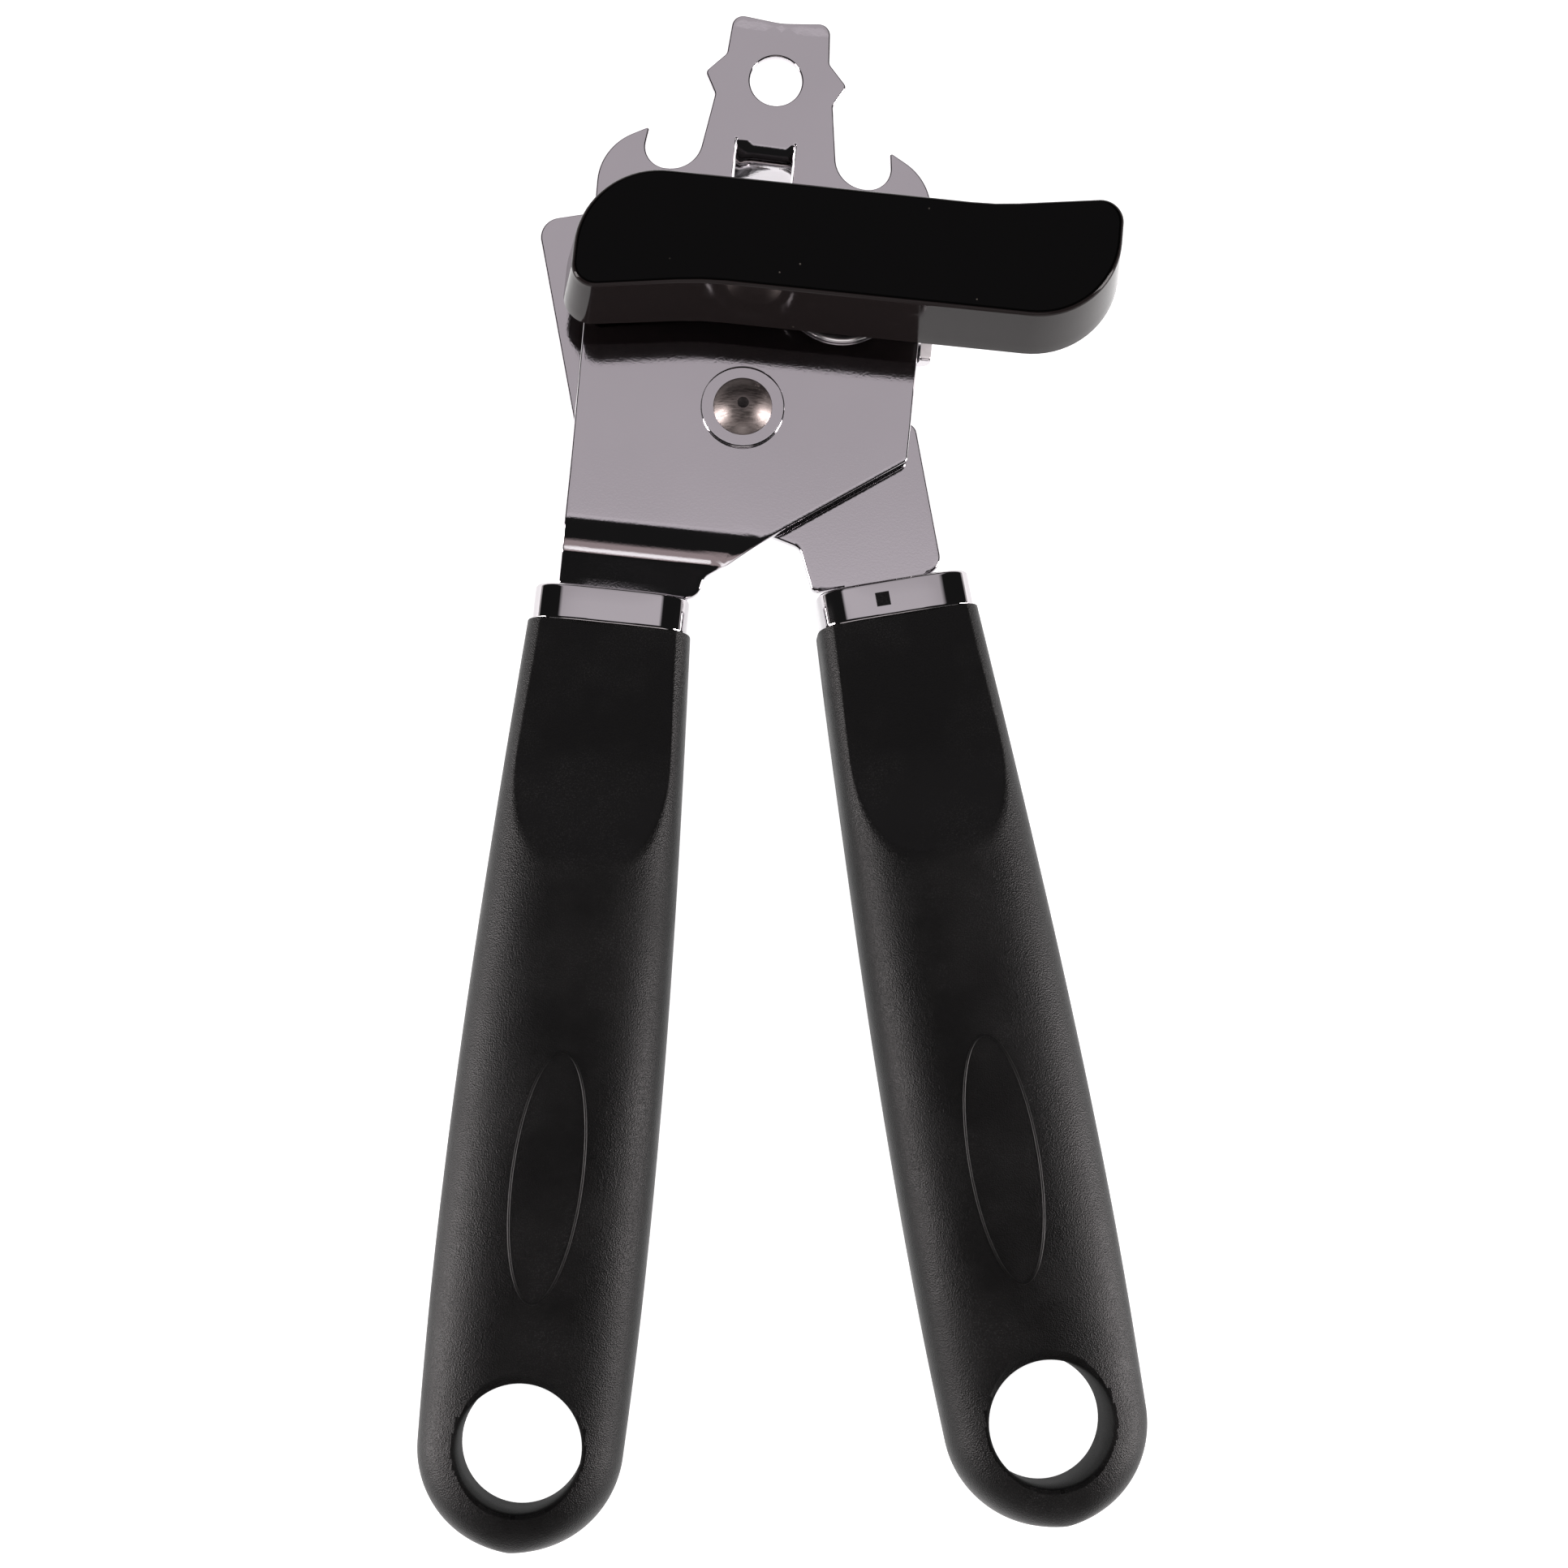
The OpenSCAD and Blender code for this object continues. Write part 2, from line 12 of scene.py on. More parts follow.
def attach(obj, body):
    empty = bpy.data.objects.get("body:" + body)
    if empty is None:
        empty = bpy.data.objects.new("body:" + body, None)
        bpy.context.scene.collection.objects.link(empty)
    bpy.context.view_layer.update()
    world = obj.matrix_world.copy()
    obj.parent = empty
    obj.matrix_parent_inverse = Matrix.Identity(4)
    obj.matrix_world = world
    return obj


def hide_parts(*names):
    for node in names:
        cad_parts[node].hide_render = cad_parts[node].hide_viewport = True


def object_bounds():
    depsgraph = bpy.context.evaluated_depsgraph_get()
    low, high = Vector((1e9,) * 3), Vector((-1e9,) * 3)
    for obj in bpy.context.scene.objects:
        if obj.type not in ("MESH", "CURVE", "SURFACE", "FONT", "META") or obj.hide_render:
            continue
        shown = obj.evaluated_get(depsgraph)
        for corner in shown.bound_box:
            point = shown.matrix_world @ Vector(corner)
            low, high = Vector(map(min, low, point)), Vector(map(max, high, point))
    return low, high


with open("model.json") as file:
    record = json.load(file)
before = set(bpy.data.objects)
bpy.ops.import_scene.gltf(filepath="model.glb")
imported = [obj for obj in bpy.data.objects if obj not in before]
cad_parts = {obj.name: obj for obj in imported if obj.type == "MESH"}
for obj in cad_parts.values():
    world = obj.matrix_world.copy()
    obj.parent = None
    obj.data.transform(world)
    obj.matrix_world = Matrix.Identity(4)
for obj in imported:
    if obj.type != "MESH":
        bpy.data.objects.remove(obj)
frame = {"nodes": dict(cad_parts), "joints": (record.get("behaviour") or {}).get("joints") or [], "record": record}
cad_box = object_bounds()

# ---------------------------------------------------------------- places

MM = 0.001
JOINTS = {j["name"]: j for j in frame["joints"]}
MOUNTS = {m["name"]: m for m in frame["record"]["mounts"]}
PIVOT = Vector(JOINTS["lever_pivot"]["pos_m"])
DRIVE = Vector(JOINTS["knob_spin"]["pos_m"])
CUTTER = Vector(JOINTS["cutter_spin"]["pos_m"])

# Handle axes and bores in each lever's own axes, pivot at (0, 0), millimetres
FRONT_HANDLE_X = -14.45
REAR_HANDLE_X = 15.5
JOINT_Y = 30.8
BORE_S = 104.6
BORE_Y = -(JOINT_Y + BORE_S)


def heading(vector):
    return math.atan2(vector.y, vector.x)


def lever_turn(mount, local):
    """Angle of a lever about the pivot, from where one of its holes lies."""
    seen = Vector(MOUNTS[mount]["pos_m"]) - PIVOT
    return heading(seen) - heading(Vector(local))


FRONT_TURN = lever_turn("front_handle_bore", (FRONT_HANDLE_X, BORE_Y, 0))
REAR_TURN = lever_turn("rear_handle_bore", (REAR_HANDLE_X, BORE_Y, 0))


def place(centre, turn, shift=(0, 0)):
    """Matrix from a part's own millimetres to the row frame in metres."""
    spot = Matrix.Translation((centre.x, centre.y, 0))
    return spot @ Matrix.Rotation(turn, 4, "Z") @ Matrix.Scale(MM, 4) @ Matrix.Translation((*shift, 0))


FRONT = place(PIVOT, FRONT_TURN)
REAR = place(PIVOT, REAR_TURN)
FRONT_GRIP = place(PIVOT, FRONT_TURN, (FRONT_HANDLE_X, -JOINT_Y))
REAR_GRIP = place(PIVOT, REAR_TURN, (REAR_HANDLE_X, -JOINT_Y))
AT_DRIVE = place(DRIVE, FRONT_TURN)

# ---------------------------------------------------------------- materials


class Shader:
    """Small helper that adds and links nodes of one material."""

    def __init__(self, name):
        self.material = bpy.data.materials.new(name)
        self.material.use_nodes = True
        self.tree = self.material.node_tree
        self.tree.nodes.clear()
        self.output = self.add("ShaderNodeOutputMaterial")
        self.bsdf = self.add("ShaderNodeBsdfPrincipled")
        self.link(self.bsdf, "BSDF", self.output, "Surface")
        self.coords = self.add("ShaderNodeTexCoord")

    def add(self, kind, **values):
        node = self.tree.nodes.new(kind)
        for key, value in values.items():
            setattr(node, key, value)
        return node

    def link(self, source, output, target, socket):
        self.tree.links.new(source.outputs[output], target.inputs[socket])

    def set(self, **values):
        for key, value in values.items():
            self.bsdf.inputs[key.replace("_", " ")].default_value = value

    def noise(self, scale, detail=2.0, roughness=0.5, stretch=(1, 1, 1)):
        mapping = self.add("ShaderNodeMapping")
        mapping.inputs["Scale"].default_value = stretch
        self.link(self.coords, "Object", mapping, "Vector")
        node = self.add("ShaderNodeTexNoise")
        node.inputs["Scale"].default_value = scale
        node.inputs["Detail"].default_value = detail
        node.inputs["Roughness"].default_value = roughness
        self.link(mapping, "Vector", node, "Vector")
        return node

    def cells(self, scale):
        node = self.add("ShaderNodeTexVoronoi", feature="F1")
        node.inputs["Scale"].default_value = scale
        self.link(self.coords, "Object", node, "Vector")
        return node

    def ramp(self, source, output, stops):
        node = self.add("ShaderNodeValToRGB")
        elements = node.color_ramp.elements
        while len(elements) < len(stops):
            elements.new(0.5)
        for element, (position, colour) in zip(elements, stops):
            element.position = position
            element.color = (*colour, 1)
        self.link(source, output, node, "Fac")
        return node

    def grey_ramp(self, source, output, stops):
        return self.ramp(source, output, [(at, (v, v, v)) for at, v in stops])

    def maths(self, operation, first, second):
        """first and second are numbers or (node, output) pairs."""
        node = self.add("ShaderNodeMath", operation=operation)
        for index, value in enumerate((first, second)):
            if isinstance(value, tuple):
                self.tree.links.new(value[0].outputs[value[1]], node.inputs[index])
            else:
                node.inputs[index].default_value = value
        return node

    def bump(self, height, output, strength, distance, below=None):
        node = self.add("ShaderNodeBump")
        node.inputs["Strength"].default_value = strength
        node.inputs["Distance"].default_value = distance
        self.link(height, output, node, "Height")
        if below is not None:
            self.link(below, "Normal", node, "Normal")
        return node


def chrome(name, colour, haze, grain, wave):
    """Bright plating: faint orange peel, fine pits, hazy patches and a few specks."""
    s = Shader(name)
    s.set(Metallic=1.0)
    patches = s.noise(60, 3)
    specks = s.cells(330)
    tone = s.ramp(patches, "Fac", [(0.3, [c * 0.97 for c in colour]), (0.7, colour)])
    dust = s.grey_ramp(specks, "Distance", [(0.03, 0.35), (0.07, 1.0)])
    spread = s.noise(420, 2)
    rare = s.grey_ramp(spread, "Fac", [(0.66, 1.0), (0.72, 0.0)])
    keep = s.maths("MAXIMUM", (dust, "Color"), (rare, "Color"))
    mix = s.add("ShaderNodeMix", data_type="RGBA", blend_type="MULTIPLY")
    mix.inputs["Factor"].default_value = 1.0
    s.link(tone, "Color", mix, "A")
    s.link(keep, "Value", mix, "B")
    s.link(mix, "Result", s.bsdf, "Base Color")
    rough = s.grey_ramp(patches, "Fac", [(0.35, haze * 0.7), (0.7, haze * 1.3)])
    s.link(rough, "Color", s.bsdf, "Roughness")
    peel = s.noise(90, 1)
    waves = s.bump(peel, "Fac", 1.0, wave)
    pits = s.noise(3800, 2, 0.6)
    fine = s.bump(pits, "Fac", 1.0, grain, waves)
    s.link(fine, "Normal", s.bsdf, "Normal")
    return s.material


def turned_steel(name, colour, roughness, grain, metal=1.0):
    """Machined steel: tonal mottling, fine scratches across and a little tarnish."""
    s = Shader(name)
    s.set(Metallic=metal)
    stain = s.noise(240, 4, 0.6)
    tone = s.ramp(stain, "Fac", [(0.3, [c * 0.72 for c in colour]), (0.65, colour)])
    s.link(tone, "Color", s.bsdf, "Base Color")
    lines = s.noise(900, 3, 0.6, (1, 6, 1))
    rough = s.grey_ramp(lines, "Fac", [(0.3, roughness * 0.7), (0.7, roughness * 1.3)])
    s.link(rough, "Color", s.bsdf, "Roughness")
    fine = s.bump(lines, "Fac", 0.6, grain)
    s.link(fine, "Normal", s.bsdf, "Normal")
    return s.material


# How much paler than the plastic the dust in its grain is
DUST = 0.05


def grip_plastic(name, grain, sheen_low, sheen_high, base, ior=1.34):
    """Black moulded plastic: spark-eroded grain, scuffs and pale dust in the grain."""
    s = Shader(name)
    s.set(IOR=ior)
    grit = s.noise(6000, 3, 0.7)
    cells = s.cells(5600)
    dust_zone = s.noise(75, 3, 0.6)
    zone = s.grey_ramp(dust_zone, "Fac", [(0.45, 0.0), (0.8, 1.0)])
    spot = s.grey_ramp(grit, "Fac", [(0.52, 0.0), (0.72, 1.0)])
    dusty = s.maths("MULTIPLY", (zone, "Color"), (spot, "Color"))
    tone = s.ramp(dusty, "Value", [(0.0, base), (1.0, [c + DUST for c in base])])
    s.link(tone, "Color", s.bsdf, "Base Color")
    rough = s.grey_ramp(dust_zone, "Fac", [(0.35, sheen_low), (0.7, sheen_high)])
    s.link(rough, "Color", s.bsdf, "Roughness")
    coarse = s.bump(cells, "Distance", 1.0, grain)
    fine = s.bump(grit, "Fac", 1.0, grain * 0.6, coarse)
    s.link(fine, "Normal", s.bsdf, "Normal")
    return s.material


def gloss_plastic(name, ior, base):
    """Polished black plastic with hairline scratches and specks of dust."""
    s = Shader(name)
    s.set(IOR=ior)
    lines = s.noise(260, 4, 0.7, (1, 9, 2))
    hair = s.grey_ramp(lines, "Fac", [(0.62, 0.0), (0.66, 1.0)])
    specks = s.cells(420)
    spot = s.grey_ramp(specks, "Distance", [(0.035, 1.0), (0.06, 0.0)])
    spread = s.noise(140, 2)
    rare = s.grey_ramp(spread, "Fac", [(0.58, 0.0), (0.66, 1.0)])
    dust = s.maths("MULTIPLY", (spot, "Color"), (rare, "Color"))
    tone = s.ramp(dust, "Value", [(0.0, base), (1.0, (0.1, 0.09, 0.08))])
    s.link(tone, "Color", s.bsdf, "Base Color")
    rough = s.grey_ramp(hair, "Color", [(0.0, 0.09), (1.0, 0.2)])
    s.link(rough, "Color", s.bsdf, "Roughness")
    swell = s.noise(45, 1)
    waves = s.bump(swell, "Fac", 1.0, 0.00004)
    s.link(waves, "Normal", s.bsdf, "Normal")
    return s.material


PLATE_CHROME = chrome("plate_chrome", (0.64, 0.615, 0.64), 0.07, 0.000005, 0.000004)
FERRULE_CHROME = chrome("ferrule_chrome", (0.6, 0.578, 0.596), 0.04, 0.0000002, 0.000003)
RIVET_STEEL = turned_steel("rivet_steel", (0.27, 0.235, 0.225), 0.42, 0.000006)
WASHER_STEEL = turned_steel("washer_steel", (0.7, 0.69, 0.7), 0.18, 0.000003)
# Matte finish for the stop tab's sheared cut end, made pale and non-metal to paint in the light the end face
# catches
SHEARED_END_PAINTED_LIGHT = turned_steel("sheared_end_painted_light", (0.9, 0.87, 0.89), 0.75, 0.00001, 0.0)
GEAR_STEEL = turned_steel("gear_steel", (0.42, 0.41, 0.41), 0.32, 0.000006)
CUTTER_STEEL = turned_steel("cutter_steel", (0.62, 0.62, 0.63), 0.14, 0.000003)
GRAINED = grip_plastic("grained_plastic", 0.00004, 0.36, 0.48, (0.002, 0.002, 0.002))
SMOOTH_REST = grip_plastic("smooth_rest_plastic", 0.000012, 0.36, 0.44, (0.0015, 0.0015, 0.0015))
BORE_WALL = grip_plastic("bore_wall_plastic", 0.00002, 0.55, 0.65, (0.004, 0.004, 0.004), 1.12)
# Near-black steel for the rivet's dimple: painted shade in the hollow
DIMPLE_PAINTED_SHADE = turned_steel("dimple_painted_shade", (0.05, 0.045, 0.045), 0.55, 0.00001)
KNOB_PLASTIC = gloss_plastic("knob_plastic", 1.21, (0.012, 0.0095, 0.0095))
# Darker, less reflective copy of the knob plastic for the knob's upward faces: painted shade on its top
KNOB_TOP_PAINTED_SHADE = gloss_plastic("knob_top_painted_shade", 1.17, (0.0015, 0.0015, 0.0015))
SLOT_MATERIALS = {
    "chromed_plate": PLATE_CHROME,
    "chromed_ferrule": FERRULE_CHROME,
    "grip_plastic": GRAINED,
    "knob_plastic": KNOB_PLASTIC,
    "rivet_steel": RIVET_STEEL,
    "washer_steel": WASHER_STEEL,
    "gear_steel": GEAR_STEEL,
    "cutter_steel": CUTTER_STEEL,
}
NODE_SLOT = {p["node"]: p["material_slot"] for p in frame["record"]["subparts"]}

# ---------------------------------------------------------------- outlines

ARC_STEP = 5.0
BEND_STEP = 0.25


def corner(a, b, c, radius):
    """Points of the corner at b between a and c, rounded to a radius."""
    if radius <= 0:
        return [b.copy()]
    u = (a - b).normalized()
    v = (c - b).normalized()
    half = u.angle(v) / 2
    centre = b + (u + v).normalized() * radius / math.sin(half)
    first = b + u * radius / math.tan(half) - centre
    last = b + v * radius / math.tan(half) - centre
    start = math.atan2(first.y, first.x)
    sweep = (math.atan2(last.y, last.x) - start + 3 * math.pi) % (2 * math.pi) - math.pi
    steps = max(2, math.ceil(abs(math.degrees(sweep)) / ARC_STEP))
    turns = [start + sweep * i / steps for i in range(steps + 1)]
    return [centre + Vector((math.cos(w), math.sin(w))) * radius for w in turns]


def rounded(points, closed=True):
    """Outline or open path from corners given as (x, y, radius)."""
    count = len(points)
    spots = [Vector(p[:2]) for p in points]
    result = []
    for i in range(count):
        if not closed and i in (0, count - 1):
            result.append(spots[i])
        else:
            result += corner(spots[i - 1], spots[i], spots[(i + 1) % count], points[i][2])
    return result


def circle(centre, radius, count=72):
    turns = [2 * math.pi * i / count for i in range(count)]
    return [Vector((centre[0] + radius * math.cos(w), centre[1] + radius * math.sin(w))) for w in turns]


def dense(loop, step, bends=()):
    """The closed loop with points added so that none of its edges is longer than step.

    bends lists y ranges with a finer step, where the sheet is curved."""
    result = []
    for a, b in zip(loop, loop[1:] + loop[:1]):
        curved = any(min(a.y, b.y) < high and max(a.y, b.y) > low for low, high in bends)
        parts = max(1, math.ceil((b - a).length / (BEND_STEP if curved else step)))
        result += [a.lerp(b, i / parts) for i in range(parts)]
    return result


def area(loop):
    return sum(a.x * b.y - b.x * a.y for a, b in zip(loop, loop[1:] + loop[:1])) / 2


def inset(loop, distance):
    """Every point of an anticlockwise loop moved to its left by a distance."""
    result = []
    for i, p in enumerate(loop):
        before = (p - loop[i - 1]).normalized()
        after = (loop[(i + 1) % len(loop)] - p).normalized()
        along = (before + after).normalized()
        left = Vector((-along.y, along.x))
        reach = max(0.5, left.dot(Vector((-before.y, before.x))))
        result.append(p + left * distance / reach)
    return result


def inside(point, loop):
    hit = False
    for a, b in zip(loop, loop[1:] + loop[:1]):
        if (a.y > point.y) != (b.y > point.y):
            if point.x < (b.x - a.x) * (point.y - a.y) / (b.y - a.y) + a.x:
                hit = not hit
    return hit


# ---------------------------------------------------------------- meshes


def new_piece(name, verts, faces, where, body, nodes, material, angle=30):
    """A mesh piece in the row frame that rides on a body and stands for CAD nodes."""
    mesh = bpy.data.meshes.new(name)
    mesh.from_pydata([where @ Vector(v) for v in verts], [], faces)
    mesh.validate()
    bm = bmesh.new()
    bm.from_mesh(mesh)
    bmesh.ops.recalc_face_normals(bm, faces=bm.faces)
    bm.to_mesh(mesh)
    bm.free()
    mesh.shade_smooth()
    mesh.set_sharp_from_angle(angle=math.radians(angle))
    mesh.materials.append(material)
    piece = bpy.data.objects.new(name, mesh)
    bpy.context.scene.collection.objects.link(piece)
    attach(piece, body)
    if nodes:
        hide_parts(*nodes)
    return piece


def weighted_normals(piece):
    weight = piece.modifiers.new("weighted", "WEIGHTED_NORMAL")
    weight.keep_sharp = True


def bevel(piece, width, segments=2, angle=40):
    edge = piece.modifiers.new("edge", "BEVEL")
    edge.width = width
    edge.segments = segments
    edge.limit_method = "ANGLE"
    edge.angle_limit = math.radians(angle)
    edge.harden_normals = True
    edge.use_clamp_overlap = True


SHEET_T = 1.5
RIM = 0.26
CRISP_RIM = 0.12
# Ring of points inside each rim, and the least distance of any added point from a rim
GUARD = 0.4
CLEAR = 0.2
RIM_RINGS = [(0.0, 0.0), (0.3, 0.05), (0.7, 0.3), (1.0, 1.0)]


def sheet_mesh(outline, holes, mapper, rows, spacing=2.2, rim=RIM, crisp=(), bends=()):
    """Verts and faces of a stamped sheet with rounded rims.

    mapper(x, y, depth) gives the place of a point of the flat pattern at a depth
    from the sheet's middle, and rows lists the y values of extra rows of points.
    crisp lists the loops with a sharper rim: 0 is the outline, 1 the first hole."""
    loops = [outline if area(outline) > 0 else outline[::-1]]
    loops += [h if area(h) < 0 else h[::-1] for h in holes]
    loops = [dense(loop, spacing, bends) for loop in loops]
    caps = [inset(loop, CRISP_RIM if k in crisp else rim) for k, loop in enumerate(loops)]
    points = [p for loop in caps for p in loop]

    def on_sheet(p):
        return inside(p, caps[0]) and not any(inside(p, h) for h in caps[1:])

    def add_point(p):
        if min((p - q).length for cap in caps for q in cap) > CLEAR and on_sheet(p):
            points.append(p)

    edges = []
    start = 0
    for loop in caps:
        count = len(loop)
        edges += [(start + i, start + (i + 1) % count) for i in range(count)]
        start += count
    low_x = min(p.x for p in caps[0])
    high_x = max(p.x for p in caps[0])
    columns = int((high_x - low_x) / spacing)
    for y in rows:
        for i in range(1, columns):
            add_point(Vector((low_x + (high_x - low_x) * i / columns, y)))
    # A ring of points just inside each cap keeps the flat face flat up to its rim
    for loop in loops:
        for p in inset(loop, rim + GUARD):
            add_point(p)
    flat, _, triangles, _, _, _ = delaunay_2d_cdt(points, edges, [], 0, 1e-6)
    keep = []
    for tri in triangles:
        centre = sum((flat[i] for i in tri), Vector((0, 0))) / len(tri)
        if on_sheet(centre):
            keep.append(tri)
    half = SHEET_T / 2
    verts = [mapper(p.x, p.y, half) for p in flat] + [mapper(p.x, p.y, -half) for p in flat]
    below = len(flat)
    faces = [list(t) for t in keep] + [[i + below for i in reversed(t)] for t in keep]
    # Cap points keep their order, so each loop's first ring is already there
    start = 0
    for loop, cap in zip(loops, caps):
        count = len(loop)
        rings = [[start + i for i in range(count)]]
        sides = [(out, half - rim * down) for out, down in RIM_RINGS[1:]]
        sides += [(out, -depth) for out, depth in reversed(sides)]
        for out, depth in sides:
            first = len(verts)
            for p, q in zip(cap, loop):
                spot = p.lerp(q, out)
                verts.append(mapper(spot.x, spot.y, depth))
            rings.append([first + i for i in range(count)])
        rings.append([start + below + i for i in range(count)])
        for one, two in zip(rings, rings[1:]):
            for i in range(count):
                j = (i + 1) % count
                faces.append([one[i], two[i], two[j], one[j]])
        start += count
    return verts, faces


def path_mapper(path):
    """Maps (x, y, depth) onto a sheet whose middle follows a path in y and z."""
    knots = sorted(((p.x, p.y) for p in path), key=lambda k: k[0])
    normals = []
    for i in range(len(knots)):
        a = knots[max(i - 1, 0)]
        b = knots[min(i + 1, len(knots) - 1)]
        normals.append(Vector((-(b[1] - a[1]), b[0] - a[0])).normalized())

    def mapper(x, y, depth):
        y = min(max(y, knots[0][0]), knots[-1][0])
        for i in range(len(knots) - 1):
            if y <= knots[i + 1][0]:
                break
        t = (y - knots[i][0]) / max(1e-9, knots[i + 1][0] - knots[i][0])
        z = knots[i][1] + (knots[i + 1][1] - knots[i][1]) * t
        n = normals[i].lerp(normals[i + 1], t).normalized()
        return (x, y + n.x * depth, z + n.y * depth)

    return mapper


def lathe(profile, count=96):
    """Verts and faces of a closed profile of (radius, z) turned round the Z axis."""
    verts = []
    faces = []
    size = len(profile)
    for k in range(count):
        w = 2 * math.pi * k / count
        verts += [(r * math.cos(w), r * math.sin(w), z) for r, z in profile]
    for k in range(count):
        j = (k + 1) % count
        for i in range(size):
            n = (i + 1) % size
            if profile[i][0] > 0 or profile[n][0] > 0:
                faces.append([k * size + i, j * size + i, j * size + n, k * size + n])
    return verts, faces


# ---------------------------------------------------------------- plates

FRONT_Z = 12.75
TANG_Z = 10.65
PLATE_HALF = 22.2
NOTCH_FLOOR = 31.9
TANG_HALF = 6.5
TANG_END = -66
FRONT_SHOULDER = -25.9
REAR_SHOULDER = -25.6


def tang(handle_x, shoulder):
    """Corners of a tang, from a plate's shoulder down its right side and up its left."""
    right = handle_x + TANG_HALF
    left = handle_x - TANG_HALF
    return [(right, shoulder, 0), (right, TANG_END, 2), (left, TANG_END, 2), (left, shoulder, 0)]


HEAD_HALF = [
    (6.6, 54.64, 1.6), (7, 48.9, 0.9), (9.6, 46, 0.8), (8, 43, 0.9),
    (9.6, NOTCH_FLOOR, 4.2), (16.8, NOTCH_FLOOR, 2.9), (16.1, 37.5, 0.3),
    (PLATE_HALF + 0.3, 33.9, 8),
]
FRONT_OUTLINE = (
    [(0, 54, 9)] + HEAD_HALF
    + [(PLATE_HALF + 0.1, -4.9, 1.1), (-2.7, -22.8, 1.6), (-3.4, FRONT_SHOULDER, 2.2)]
    + tang(FRONT_HANDLE_X, FRONT_SHOULDER)
    + [(-21.6, FRONT_SHOULDER, 0.7), (-PLATE_HALF + 0.5, -10, 0)]
    + [(-x, y, r) for x, y, r in reversed(HEAD_HALF)]
)
FRONT_PATH = [
    (56, FRONT_Z + 0.35, 0), (52.6, FRONT_Z, 1.2), (-18.9, FRONT_Z, 6.5),
    (-21.05, TANG_Z + 0.45, 1.6), (-26.5, TANG_Z - 0.05, 0), (-67, TANG_Z - 0.05, 0),
]
REAR_OUTLINE = (
    [
        (-22.5, 30.5, 2.8), (5.2, 30.5, 3), (5.2, 11.6, 1.5), (16, 6.6, 3), (21.15, 5, 3),
        (21.15, -4.8, 0.2), (22.45, -4.8, 1.7), (22.45, REAR_SHOULDER, 2.4),
    ]
    + tang(REAR_HANDLE_X, REAR_SHOULDER)
    + [(4.9, REAR_SHOULDER, 0.9), (4.3, -19.4, 1.6), (-22.1, -3.3, 3)]
)
TONGUE_LOW_X = -4.4
TONGUE_HIGH_X = 3.4
TONGUE_ROOT = 36.6
TONGUE_LENGTH = 10.4
TONGUE_TOP = TONGUE_ROOT + 0.3
TONGUE_TIP = TONGUE_ROOT - TONGUE_LENGTH
SLIT = 0.15
SLIT_CORNER = 0.06
WINDOW_END = 25
HANG_HOLE = (0, 45.7)
HANG_HOLE_R = 3.45
# Ranges of y where the front plate is bent: the joggle and the head's tip
JOGGLE = (-24.6, -16.6)
TIP_BEND = (51.6, 53.6)
TAB_TOP = 13.3
# A face whose normal rises more than this is an upper face
UPWARD = 0.9


def frange(start, stop, step):
    count = max(1, round(abs(stop - start) / step))
    return [start + (stop - start) * i / count for i in range(count + 1)]


def tongue_mapper(flat_mapper):
    """Front plate's mapper, with the lanced tongue bent down through its window."""
    bend = 2.1
    swing = math.radians(72)

    def mapper(x, y, depth):
        across = TONGUE_LOW_X - 0.01 <= x <= TONGUE_HIGH_X + 0.01
        if not (across and WINDOW_END + 0.5 < y < TONGUE_ROOT):
            return flat_mapper(x, y, depth)
        run = TONGUE_ROOT - y
        turn = min(run / bend, swing)
        rest = max(0.0, run - bend * swing)
        back = bend * math.sin(turn) + rest * math.cos(turn)
        drop = bend * (1 - math.cos(turn)) + rest * math.sin(turn)
        return (x, TONGUE_ROOT - back - math.sin(turn) * depth, FRONT_Z - drop + math.cos(turn) * depth)

    return mapper


def build_front_plate():
    mapper = tongue_mapper(path_mapper(rounded(FRONT_PATH, closed=False)))
    slot = [
        (TONGUE_LOW_X - SLIT, TONGUE_TOP, SLIT_CORNER), (TONGUE_LOW_X - SLIT, WINDOW_END, 0.8),
        (TONGUE_HIGH_X + SLIT, WINDOW_END, 0.8), (TONGUE_HIGH_X + SLIT, TONGUE_TOP, SLIT_CORNER),
        (TONGUE_HIGH_X, TONGUE_TOP, SLIT_CORNER), (TONGUE_HIGH_X, TONGUE_TIP, 1.2),
        (TONGUE_LOW_X, TONGUE_TIP, 1.2), (TONGUE_LOW_X, TONGUE_TOP, SLIT_CORNER),
    ]
    drive = (FRONT.inverted() @ DRIVE).to_2d()
    holes = [
        rounded(slot), circle(HANG_HOLE, HANG_HOLE_R), circle((0, 0), 3.5), circle(drive, 4.8),
    ]
    rows = (
        frange(TIP_BEND[1], TIP_BEND[0], 0.1) + frange(49, 38, 2) + frange(37.2, 26.8, 0.3)
        + frange(24, -15.5, 2.5) + frange(JOGGLE[1], JOGGLE[0], 0.2) + frange(-27, -64, 4)
    )
    verts, faces = sheet_mesh(
        rounded(FRONT_OUTLINE), holes, mapper, rows, crisp=(1,), bends=(JOGGLE, TIP_BEND)
    )
    piece = new_piece(
        "front_plate_sheet", verts, faces, FRONT, "front_lever",
        ["front_plate", "front_tang", "lanced_tongue"], PLATE_CHROME, 50,
    )
    weighted_normals(piece)


